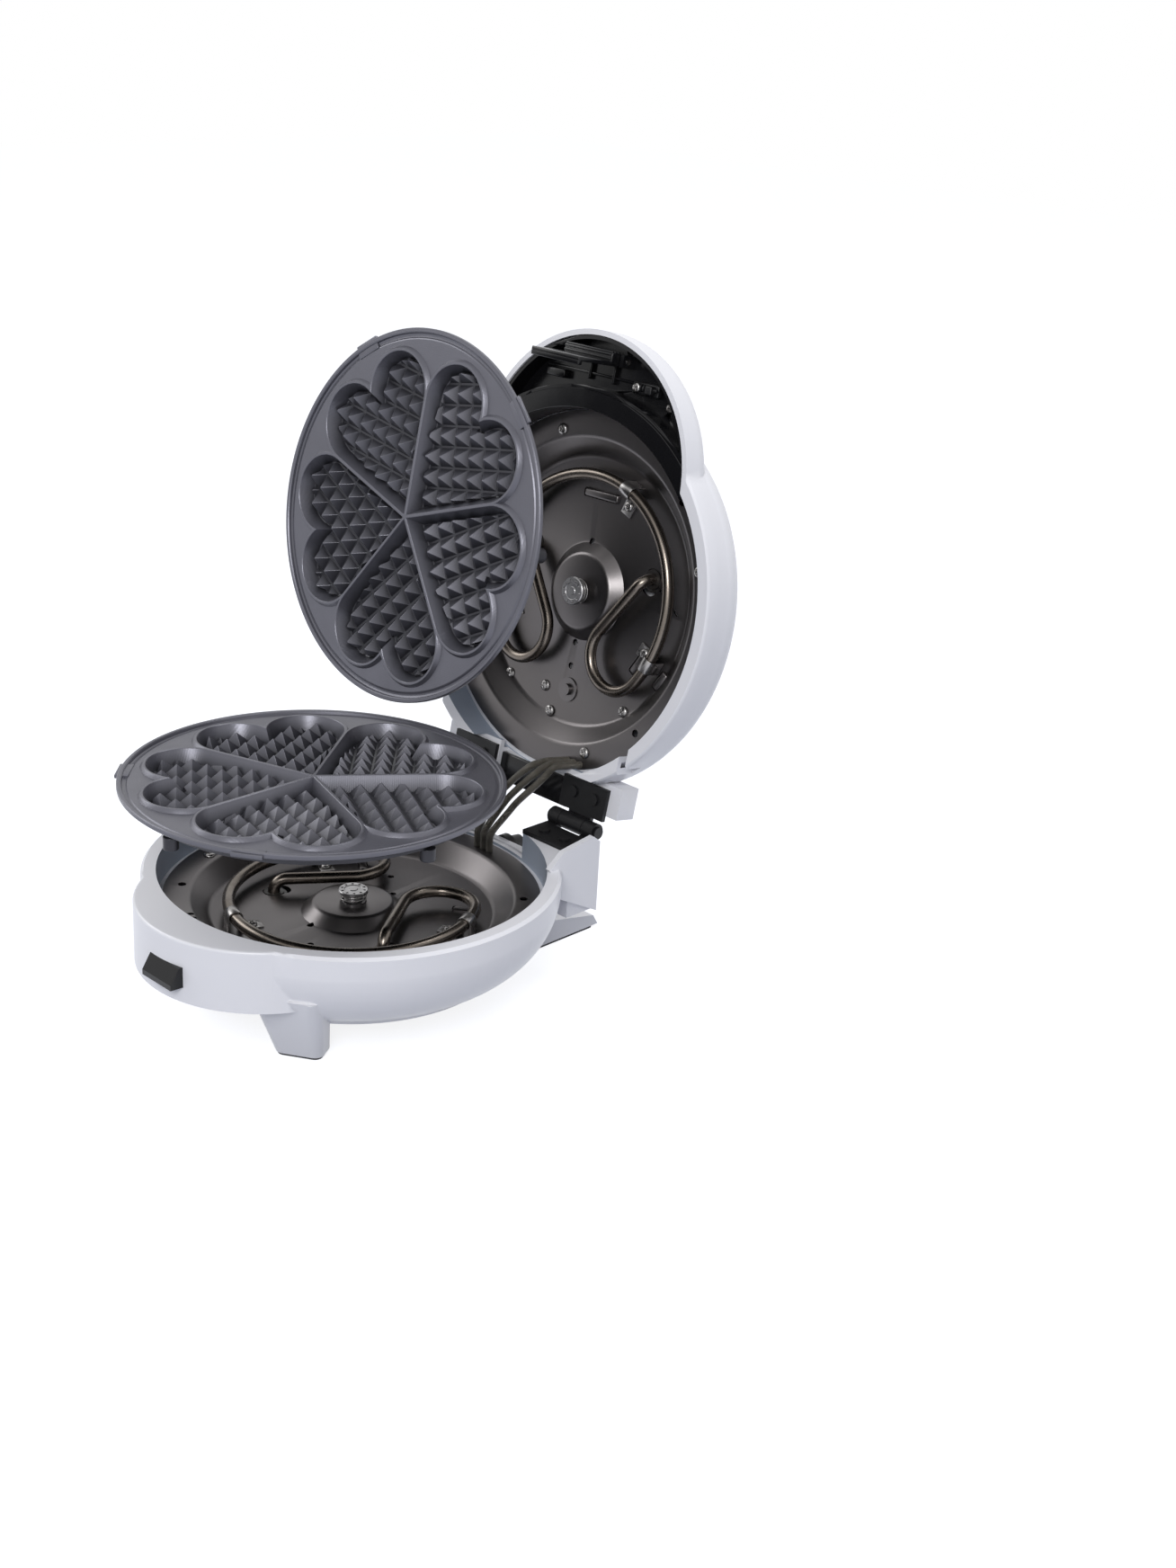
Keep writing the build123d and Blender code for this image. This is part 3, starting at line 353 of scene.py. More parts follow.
def lathe(name: str, profile: Profile, steps: int, bored: bool = False) -> Piece:
    """A closed solid of revolution, drawn up ring by ring from a circle.

    Args:
        name: The piece's name.
        profile: Radius and height of each ring, from one end to the other.
        steps: Sides round the axis.
        bored: Whether the profile closes on itself and leaves the middle open.

    Returns:
        The piece.
    """
    clear()
    radius, height = profile[0]
    bpy.ops.mesh.primitive_circle_add(
        vertices=steps, radius=radius * MM, fill_type="NOTHING", location=(0, 0, height * MM)
    )
    piece = made(name)
    bpy.ops.object.mode_set(mode="EDIT")
    bpy.ops.mesh.select_mode(type="EDGE")
    bpy.ops.mesh.select_all(action="SELECT")
    path = [*profile, profile[0]] if bored else list(profile)
    for (r, z), (next_r, next_z) in zip(path, path[1:]):
        bpy.ops.mesh.extrude_edges_move(TRANSFORM_OT_translate={"value": (0, 0, (next_z - z) * MM)})
        if next_r != r:
            grow = next_r / r
            bpy.ops.transform.resize(value=(grow, grow, 1), center_override=(0, 0, next_z * MM))
    if not bored:
        bpy.ops.mesh.select_all(action="SELECT")
        bpy.ops.mesh.fill_holes(sides=0)
    done(piece)
    return weld(piece)


def block(name: str, low: Point, high: Point, round_off: float = 0.0, segments: int = 3) -> Piece:
    """A box between two corners with its edges rounded off.

    Args:
        name: The piece's name.
        low: The lowest corner.
        high: The highest corner.
        round_off: Radius of the edges, or 0 to leave them sharp.
        segments: Parts of each rounding.

    Returns:
        The piece.
    """
    clear()
    middle = [(a + b) / 2 * MM for a, b in zip(low, high)]
    bpy.ops.mesh.primitive_cube_add(size=1, location=middle)
    bpy.context.object.scale = [(b - a) * MM for a, b in zip(low, high)]
    piece = made(name)
    if round_off:
        edit(piece)
        bpy.ops.mesh.bevel(offset=round_off * MM, segments=segments, affect="EDGES")
        done(piece)
    return piece


def prism(name: str, outline: Profile, low: float, high: float) -> Piece:
    """An outline in x and y, walked round point by point, filled and drawn up.

    Args:
        name: The piece's name.
        outline: The corners in order.
        low: Height of the lower face.
        high: Height of the upper face.

    Returns:
        The piece.
    """
    clear()
    x, y = outline[0]
    bpy.ops.mesh.primitive_plane_add(size=MM, location=(x * MM, y * MM, low * MM))
    piece = made(name)
    edit(piece)
    bpy.ops.mesh.merge(type="CENTER")
    for next_x, next_y in outline[1:]:
        bpy.ops.mesh.extrude_vertices_move(
            TRANSFORM_OT_translate={"value": ((next_x - x) * MM, (next_y - y) * MM, 0)}
        )
        x, y = next_x, next_y
    bpy.ops.mesh.select_all(action="SELECT")
    bpy.ops.mesh.edge_face_add()
    bpy.ops.mesh.extrude_region_move(TRANSFORM_OT_translate={"value": (0, 0, (high - low) * MM)})
    done(piece)
    return weld(piece)


def rod(name: str, start: Point, end: Point, radius: float, steps: int = 24, round_off: float = 0.2) -> Piece:
    """A round bar between two points with its ends broken.

    Args:
        name: The piece's name.
        start: The middle of one end.
        end: The middle of the other.
        radius: The bar's radius.
        steps: Sides round it.
        round_off: How far its ends are broken, or 0 to leave them sharp.

    Returns:
        The piece.
    """
    clear()
    a, b = Vector(start), Vector(end)
    bpy.ops.mesh.primitive_cylinder_add(
        vertices=steps, radius=radius * MM, depth=(b - a).length * MM, location=(a + b) / 2 * MM,
        rotation=(b - a).to_track_quat("Z", "Y").to_euler(),
    )
    piece = made(name)
    return soften(piece, round_off, 2, 50) if round_off else piece


def merged(node: Piece, name: str, flat: bool = True) -> Piece:
    """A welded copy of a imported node, to be finished further.

    Args:
        node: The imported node.
        name: The copy's name.
        flat: Whether triangles in one plane become one face.

    Returns:
        The copy, with its place in its mesh.
    """
    piece = twin(node, name)
    piece.parent = None
    piece.matrix_world = Matrix.Identity(4)
    for key in list(piece.keys()):
        del piece[key]
    piece.data.materials.clear()
    edit(piece)
    bpy.ops.mesh.remove_doubles(threshold=NODE_WELD * MM)
    if flat:
        bpy.ops.mesh.dissolve_limited(angle_limit=radians(FLAT))
    return done(piece)


# Finishes


def linear(colour: str, alpha: float = 1.0) -> tuple[float, float, float, float]:
    """The linear value of an sRGB hex colour."""
    parts = [int(colour[k : k + 2], 16) / 255 for k in (1, 3, 5)]
    return (*(c / 12.92 if c <= 0.04045 else ((c + 0.055) / 1.055) ** 2.4 for c in parts), alpha)


WHITE, SKY, PALE_GREY = linear("#FFFFFF"), linear("#F2F4FA"), linear("#9FA3AE")


def add_node(tree: Tree, kind: str, inputs: dict | None = None, **settings: object) -> bpy.types.Node:
    """Adds a shader node, sets it and links it.

    Args:
        tree: The material's or world's tree.
        kind: The node's type, without the ShaderNode that it starts with.
        inputs: A value or a socket for each named or numbered input.
        settings: The node's own settings.

    Returns:
        The node.
    """
    node = tree.nodes.new(f"ShaderNode{kind}")
    for name, value in settings.items():
        setattr(node, name, value)
    for name, value in (inputs or {}).items():
        if isinstance(value, Socket):
            tree.links.new(value, node.inputs[name])
        else:
            node.inputs[name].default_value = value
    return node


def bare_tree(owner: bpy.types.ID) -> Tree:
    """The emptied node tree of a new material or world."""
    owner.use_nodes = True
    owner.node_tree.nodes.clear()
    return owner.node_tree


@dataclass(frozen=True)
class Finish:
    """A material's constants. Its patterns come from the classes below."""

    name: str
    colour: str
    shade: str  # the second colour, which drifts through the first; in a TurnedFinish it also serves as painted shade down in the pockets
    roughness: float = 0.4
    drift: float = 30.0  # size of the colour's drift, mm
    grain: float = 1.0  # size of the surface's grain, mm
    relief: float = 0.02  # height of that grain, mm
    polish: float = 0.06  # how far the roughness wanders
    metallic: float = 0.0
    ior: float = 1.5

    def pattern(self, tree: Tree, at: Socket) -> Socket:
        """The surface's relief: the grain of its mould, sheet or casting."""
        return add_node(
            tree, "TexNoise", {"Vector": at, "Scale": 1 / (self.grain * MM), "Detail": 3.0}
        ).outputs["Fac"]

    def share(self, tree: Tree, at: Socket, cloud: Socket) -> Socket:
        """How much of the second colour shows."""
        return cloud

    def material(self) -> bpy.types.Material:
        """Builds the material once and returns it.

        Returns:
            The material of this name.
        """
        found = bpy.data.materials.get(self.name)
        if found:
            return found
        material = bpy.data.materials.new(self.name)
        tree = bare_tree(material)
        at = add_node(tree, "TexCoord").outputs["Object"]
        cloud = add_node(
            tree, "TexNoise", {"Vector": at, "Scale": 1 / (self.drift * MM), "Detail": 4.0}
        ).outputs["Fac"]
        tint = add_node(
            tree, "Mix",
            {"Factor": self.share(tree, at, cloud), 6: linear(self.colour), 7: linear(self.shade)},
            data_type="RGBA",
        )
        rough = add_node(
            tree, "MapRange",
            {"Value": cloud, "From Min": 0.3, "From Max": 0.7,
             "To Min": self.roughness - self.polish, "To Max": self.roughness + self.polish},
        )
        bump = add_node(
            tree, "Bump",
            {"Strength": 1.0, "Distance": self.relief * MM, "Height": self.pattern(tree, at)},
        )
        shader = add_node(
            tree, "BsdfPrincipled",
            {"Base Color": tint.outputs[2], "Roughness": rough.outputs["Result"],
             "Normal": bump.outputs["Normal"], "Metallic": self.metallic},
        )
        if not self.metallic:
            shader.inputs["IOR"].default_value = self.ior
        add_node(tree, "OutputMaterial", {"Surface": shader.outputs["BSDF"]})
        return material


@dataclass(frozen=True)
class TurnedFinish(Finish):
    """A casting faced on a lathe: fine rings about its own middle over a sandy grain, with painted shade that
    darkens its pockets.
    """

    centre: Tray = BASE
    pitch: float = 1.1  # between rings, mm; the real 0.2 mm feed is too fine to show
    top: float = -0.5  # height under which the colour darkens into the pockets as painted shade, mm
    depth: float = 6.5  # over which it does so, mm

    def local(self, tree: Tree, at: Socket) -> Socket:
        """The place measured from the casting's own middle."""
        return add_node(
            tree, "Mapping",
            {"Vector": at, "Location": Vector(self.centre.origin) * MM,
             "Rotation": self.centre.matrix.to_euler()}, vector_type="TEXTURE",
        ).outputs["Vector"]

    def share(self, tree: Tree, at: Socket, cloud: Socket) -> Socket:
        """More of the dark colour further down: painted shade that darkens the pockets and leaves the crests
        and land lighter.
        """
        # painted shade: the second colour grows with depth below the land, into the pockets
        parts = add_node(tree, "SeparateXYZ", {"Vector": self.local(tree, at)})
        down = add_node(
            tree, "MapRange",
            {"Value": parts.outputs["Z"], "From Min": self.top * MM,
             "From Max": (self.top - self.depth) * MM, "To Min": -0.15, "To Max": 0.62},
        )
        return add_node(
            tree, "Math", {0: cloud, 1: 0.35, 2: down.outputs["Result"]},
            operation="MULTIPLY_ADD", use_clamp=True,
        ).outputs["Value"]

    def pattern(self, tree: Tree, at: Socket) -> Socket:
        """Tool rings, about half as high as the grain of the sand."""
        rings = add_node(
            tree, "TexWave",
            {"Vector": self.local(tree, at), "Scale": pi / 10 / (self.pitch * MM), "Distortion": 0.4,
             "Detail Scale": 2.0}, wave_type="RINGS", rings_direction="Z",
        )
        sand = add_node(
            tree, "TexNoise", {"Vector": at, "Scale": 1 / (self.grain * MM), "Detail": 4.0}
        )
        return add_node(
            tree, "Math",
            {0: rings.outputs["Fac"], 1: 0.45, 2: sand.outputs["Fac"]}, operation="MULTIPLY_ADD",
        ).outputs["Value"]


@dataclass(frozen=True)
class BraidFinish(Finish):
    """A braided sleeve: two sets of strands that wind round it in opposite ways."""

    strands: int = 8
    lay: float = 5.0  # length of one turn of a strand, mm

    def pattern(self, tree: Tree, at: Socket) -> Socket:
        """Crossed ridges that follow the sleeve, from its own attributes."""
        along = add_node(tree, "Attribute", attribute_name="along").outputs["Fac"]
        around = add_node(tree, "Attribute", attribute_name="around").outputs["Fac"]
        waves = []
        for way in (1, -1):
            turn = add_node(
                tree, "Math", {0: around, 1: float(way * self.strands)}, operation="MULTIPLY"
            )
            phase = add_node(
                tree, "Math",
                {0: along, 1: 2 * pi * self.strands / self.lay, 2: turn.outputs["Value"]},
                operation="MULTIPLY_ADD",
            )
            wave = add_node(tree, "Math", {0: phase.outputs["Value"]}, operation="SINE")
            waves.append(wave.outputs["Value"])
        crossed = add_node(tree, "Math", dict(enumerate(waves)), operation="MAXIMUM")
        return crossed.outputs["Value"]


# ABS, injection moulded in a polished mould: an even cool white with a soft gloss
SHELL = Finish("glossy_white_abs", "#E3E3E7", "#E0E0E5", 0.3, 60, 2.5, 0.006, 0.008)
# the same ABS on the trays' inner walls: painted shade makes it darker and bluer; as moulded, it is duller
# than the polished outside
SHADED_INNER_WALL = Finish("inner_abs_painted_shade", "#A3ADBC", "#9CA6B6", 0.42, 40, 1.5, 0.012, 0.02)
# rubber, moulded: soft black feet
PAD = Finish("rubber_pads", "#2A2A2C", "#232325", 0.75, 10, 0.6, 0.05)
# glass-filled nylon, moulded: near black with a wet gloss
NYLON = Finish("black_nylon", "#141416", "#0E0E10", 0.22, 15, 1.2, 0.012, 0.04, ior=1.38)
# the same nylon with a spark-eroded mould grain, for knobs that fingers touch
GRAINED_NYLON = Finish("grained_black_nylon", "#19191B", "#121214", 0.42, 8, 0.6, 0.05, 0.06, ior=1.38)
# mild steel, stamped and stove enamelled black
ENAMELLED_STEEL = Finish(
    "black_enamelled_steel", "#161618", "#101012", 0.46, 12, 0.8, 0.03, 0.05, ior=1.38
)
# aluminised steel, pressed: dark warm grey with a satin metal sheen
PAN_STEEL = Finish(
    "pressed_aluminised_steel", "#6E6B6B", "#615E5F", 0.33, 40, 0.35, 0.006, 0.02, metallic=1.0
)
# nickel alloy sheath, drawn and fired: dark bronze with bright highlights
SHEATH = Finish("fired_nickel_sheath", "#7C756E", "#5F5852", 0.27, 9, 0.5, 0.01, 0.05, metallic=1.0)
# zinc plated steel, rolled: bright and a little grey
ZINC = Finish("zinc_plated_steel", "#A9A7A6", "#8E8C8B", 0.3, 6, 0.5, 0.015, 0.08, metallic=1.0)
# aluminium, turned: pale satin metal
ALUMINIUM = Finish("turned_aluminium", "#B4B3B4", "#9B9A9B", 0.32, 6, 0.4, 0.015, 0.07, metallic=1.0)
# steatite ceramic, pressed and fired with a brown-black glaze
STEATITE = Finish("glazed_steatite", "#211E1C", "#191715", 0.35, 5, 0.5, 0.03, 0.05, ior=1.6)
# glass fibre sleeve, braided and varnished brown
BRAID = BraidFinish("varnished_glass_braid", "#8B857A", "#5F5A50", 0.4, 6, 0.8, 0.3, 0.06)


def plate_finish(face: Tray, name: str) -> TurnedFinish:
    """Aluminium, cast and coated with a grey non-stick: a dark sheen with a fine sandy grain, and painted
    shade darker down in the pockets.
    """
    # the second colour is the painted shade of the pockets
    return TurnedFinish(name, "#63636B", "#1C1C20", 0.36, 25, 0.45, 0.03, 0.04, metallic=0.6, centre=face)


def dress(piece: Piece, finish: Finish) -> Piece:
    """Gives a piece its finish.

    Args:
        piece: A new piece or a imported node.
        finish: Its finish.

    Returns:
        The same piece.
    """
    material = finish.material()
    if piece.data.materials:
        for index in range(len(piece.data.materials)):
            piece.data.materials[index] = material
    else:
        piece.data.materials.append(material)
    return piece


def seat(piece: Piece, body: Body, finish: Finish, slot: str, *nodes: str) -> Piece:
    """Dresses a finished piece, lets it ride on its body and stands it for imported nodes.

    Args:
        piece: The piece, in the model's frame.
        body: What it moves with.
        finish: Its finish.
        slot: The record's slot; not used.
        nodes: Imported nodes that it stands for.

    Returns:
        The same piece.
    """
    dress(piece, finish)
    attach(piece, body.value)
    if nodes:
        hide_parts(*nodes)
    LOG.info("%s: %d faces on %s", piece.name, len(piece.data.polygons), body.value)
    return piece


# Sub-assemblies


@dataclass
class Housing:
    """The two white shells with what closes and carries them."""

    nodes: dict[str, Piece]
    wall_reach: float = 105.0  # outside every inner wall of a tray
    wall_depth: float = 30.0
    bridge: tuple[Point, Point] = ((-29, 103, -15.5), (29, 119.5, -12.5))
    cover: Pair = (101.8, 112.3)  # inner and outer radius of the rim's cover
    cover_foot: float = -16.4
    cover_rise: float = 0.3  # how far the cover stands over the rim, and its edge's chamfer
    handle_y: float = -66.0
    handle_radius: float = 76.0

    def build(self) -> None:
        """Finishes the shells and dresses what is under them."""
        for name, body in (("base_shell", Body.BASE), ("lid_shell", Body.LID)):
            shell = even(smooth(merged(self.nodes[name], name.replace("shell", "casing")), 28))
            seat(shell, body, SHELL, "shell", name)
            self.line(shell, BASE if body is Body.BASE else LID)
        seat(self.rim_cover(), Body.LID, NYLON, "black")
        bridge = block("hinge_bridge", *self.bridge, 0.8)
        seat(settle(bridge, LID), Body.LID, NYLON, "black")
        self.dress()

    def line(self, shell: Piece, place: Tray) -> None:
        """Gives the faces of the round wall inside a tray their own finish: the shell's ABS painted darker
        and bluer as shade.

        Args:
            shell: The finished shell.
            place: Its tray.
        """
        # the inner wall's material is the shell's ABS with painted shade
        shell.data.materials.append(SHADED_INNER_WALL.material())
        back = place.matrix.inverted()

        def inner(centre: Vector, normal: Vector) -> bool:
            at = back @ (centre * MM) / MM
            lean = back.to_3x3() @ normal
            reach = hypot(at.x, at.y)
            faces_in = at.x * lean.x + at.y * lean.y < -0.5 * reach
            return reach < self.wall_reach and at.z > -self.wall_depth and faces_in

        pick_faces(shell, inner)
        shell.active_material_index = 1
        bpy.ops.object.material_slot_assign()
        done(shell)

    def rim_cover(self) -> Piece:
        """The liner's curved wall over the lid's rim, between the pan and the handle.

        Returns:
            The wall, in the model's frame.
        """
        (inner, outer), foot, rise = self.cover, self.cover_foot, self.cover_rise
        top = ((outer, 0.0), (outer - rise, rise), (inner + rise, rise), (inner, 0.0))
        section = ((inner, foot), (outer, foot), *top)
        ring = lathe("rim_cover", section, 160, bored=True)
        y = self.handle_y
        opening = rod("opening", (0, y, -30), (0, y, 10), self.handle_radius, 96, 0)
        return settle(cut(ring, opening, "INTERSECT"), LID)

    def dress(self) -> None:
        """Dresses the cover, the pads and the gland."""
        for name in ("bottom_cover", "cord_gland"):
            dress(self.nodes[name], GRAINED_NYLON)
        dress(self.nodes["foot_pads"], PAD)


@dataclass
class WafflePlate:
    """A cast plate of five heart pockets filled with pyramids."""

    face: Tray
    body: Body
    hearts: int = 5
    reach: float = 89.0
    spread: float = 0.92  # how far a lobe's middle stands off the heart's axis, in lobe radii
    rib_half: float = 0.8
    crest: float = 1.2
    crest_width: float = 1.5
    bead_foot: float = 3.1
    bead_root: float = -2.4  # how deep a bead is rooted in the casting
    bead_sink: float = 0.37  # how far under the land its slope starts, so that no face lies in the land
    stagger: float = 0.013  # between the heights of beads that meet, so that they fuse cleanly
    land: float = -0.8  # height of the flat between the bead and the rim
    floor: float = -7.0
    draft: float = 4.4  # how far the pocket's wall leans in on its way down
    pitch: float = 11.0
    pyramid: float = 10.2
    peak: float = 5.8
    blunt: float = 0.35  # radius left on a pyramid's point
    lug: tuple[Point, Point] = ((94, -8, -2.4), (101.4, 8, -0.3))
    lug_angles: tuple[float, ...] = (225.0, 303.0)
    post_circle: float = 89.0
    post_ends: Pair = (-8.5, -15.4)
    section: Profile = (
        (14.2, -13.7), (15.0, -12.9), (15.4, -9.0), (62.0, -9.0), (63.0, -7.8), (70.0, -7.8),
        (71.0, -9.0), (89.0, -9.0), (90.4, -8.4), (92.0, -2.6), (99.2, -2.5), (100.0, -1.8),
        (100.0, 0.1), (99.5, 0.6), (98.0, 0.6), (97.5, 0.1), (97.1, -1.2), (96.2, -1.6),
        (95.2, -1.5), (94.6, -1.0), (94.0, -0.8), (60.0, -0.8),
    )

    @property
    def half(self) -> float:
        """Half of one heart's share of the circle."""
        return pi / self.hearts

    def outline(self, grow: float = 0.0, steps: int = 22) -> list[Pair]:
        """A heart along +X, its edge moved outwards by grow.

        Args:
            grow: How far, in millimetres.
            steps: Parts of each lobe's arc.

        Returns:
            The corners in order.
        """
        tip = self.rib_half / sin(self.half)
        k = (1 + self.spread * cos(self.half)) / sin(self.half)
        a = self.spread**2 + k**2 - 1
        b = 2 * tip * k + 2 * self.reach
        lobe = (-b + sqrt(b * b - 4 * a * (tip**2 - self.reach**2))) / (2 * a)
        cx, cy = tip + k * lobe, self.spread * lobe
        size = lobe + grow
        start = pi / 2 + self.half
        end = -asin(min(1.0, cy / size))
        arc = [start + (end - start) * i / steps for i in range(steps + 1)]
        upper = [(cx + size * cos(t), cy + size * sin(t)) for t in arc]
        lower = [(x, -y) for x, y in reversed(upper[:-1])]
        return [(tip - grow / sin(self.half), 0.0), *upper, *lower]

    def around(self, piece: Piece) -> list[Piece]:
        """Copies one heart's piece to every heart."""
        first, step = 270 + 180 / self.hearts, 360 / self.hearts
        return copied(piece, (((0, 0, 0), first + step * k) for k in range(self.hearts)))

    def sloped(self, name: str, grow: float, ends: Pair, way: int, steps: Profile) -> Piece:
        """A heart-shaped block whose upper or lower end slopes in.

        Args:
            name: The piece's name.
            grow: How far its straight part stands outside the heart's edge.
            ends: Foot and top of the straight part.
            way: 1 where the top slopes in, -1 where the foot does.
            steps: How far in and how far on each part of the slope goes.

        Returns:
            The block.
        """
        heart = prism(name, self.outline(grow), *ends)
        pick_faces(heart, lambda centre, normal: normal.z * way > 0.9)
        for inset, rise in steps:
            bpy.ops.mesh.inset(thickness=inset * MM, depth=rise * MM, use_even_offset=True)
        return weld(done(heart))

    def pyramids(self) -> Piece:
        """One heart's pyramids, cut off where they meet its wall.

        Returns:
            The pyramids as one piece, for a heart along +X.
        """
        step = self.pitch / sqrt(2)
        clear()
        bpy.ops.mesh.primitive_cone_add(
            vertices=4, radius1=self.pyramid / sqrt(2) * MM, radius2=self.blunt * MM,
            depth=(self.peak + 0.2) * MM, location=(0, 0, (self.floor + self.peak / 2 - 0.1) * MM),
        )
        first = soften(made("pyramid"), 0.16, 1, 40)
        spots = [
            (i * step, j * step) for i in range(0, 12) for j in range(-7, 8)
            if (i + j) % 2 == 0 and 5 < i * step and hypot(i * step, j * step) < self.reach
        ]
        low, high = self.floor - 0.15, self.floor + self.peak + 1
        inside = prism("pocket_floor", self.outline(0.1 - self.draft), low, high)
        copies = copied(first, (((x, y, 0), 0.0) for x, y in spots))
        return cut(join(*copies), inside, "INTERSECT")

    def build(self) -> Piece:
        """Casts the plate.

        Returns:
            The plate, in the model's frame.
        """
        plate = lathe(f"{self.body.value}_casting", self.section, 160)
        for angle in self.lug_angles:
            plate = cut(plate, move(block("lug", *self.lug, 0.5), turn=angle), "UNION")
        width, high = self.bead_foot - self.crest_width, self.crest
        start = self.land - self.bead_sink
        slope = ((width, high - start - 0.25), (0.3, 0.25))
        bead = self.sloped("bead", self.bead_foot, (self.bead_root, start), 1, slope)
        for k, copy in enumerate(self.around(bead)):
            plate = cut(plate, move(copy, (0, 0, -self.stagger * k)), "UNION")
        steps = ((0.45, 0.4), (self.draft - 1.0, high - self.floor - 0.6), (0.55, 0.3))
        pocket = self.sloped("pocket", 0.35, (high + 0.1, high + 2), -1, steps)
        plate = weld(cut(plate, join(*self.around(pocket))), outward=False)
        top, foot = self.post_ends
        posts = [
            rod("post", (x, y, top), (x, y, foot), 4, 24, 0.5)
            for x, y in spaced(self.post_circle, 0.0, 4)
        ]
        plate = join(plate, *self.around(self.pyramids()), *posts)
        return settle(plate, self.face, 17)

    def dress(self) -> None:
        """Builds and finishes the plate."""
        name = self.body.value
        seat(self.build(), self.body, plate_finish(self.face, f"coated_cast_{name}"), "plate", name)


@dataclass
class Screw:
    """A pan-head screw with a cross recess, made once and copied."""

    radius: float = 3.0
    height: float = 1.9
    recess: float = 0.9

    def build(self) -> Piece:
        """Turns one head and cuts its recess.

        Returns:
            The head, its seat at zero height.
        """
        r, h = self.radius, self.height
        dome = ((0.96, 0), (1, 0.25), (0.95, 0.55), (0.78, 0.85), (0.45, 1))
        head = lathe("screw_head", (*((r * a, b * h) for a, b in dome), (0.1, h)), 28)
        for turn in (0, 90):
            slot = block("slot", (-r * 0.62, -r * 0.13, h - self.recess), (r * 0.62, r * 0.13, h + 1))
            head = cut(head, move(slot, turn=turn))
        return head

    def at(self, name: str, place: Tray, spots: Iterable[Point], turn: float = 17.0) -> Piece:
        """Copies of the head at each spot of a tray, each turned a little further.

        Args:
            name: The joined piece's name.
            place: The tray.
            spots: Where the heads sit, in its coordinates.
            turn: How much further each one is turned, in degrees.

        Returns:
            The heads as one piece, in the model's frame.
        """
        moves = ((spot, turn * (k + 1)) for k, spot in enumerate(spots))
        return assemble(name, copied(self.build(), moves), place, 35)


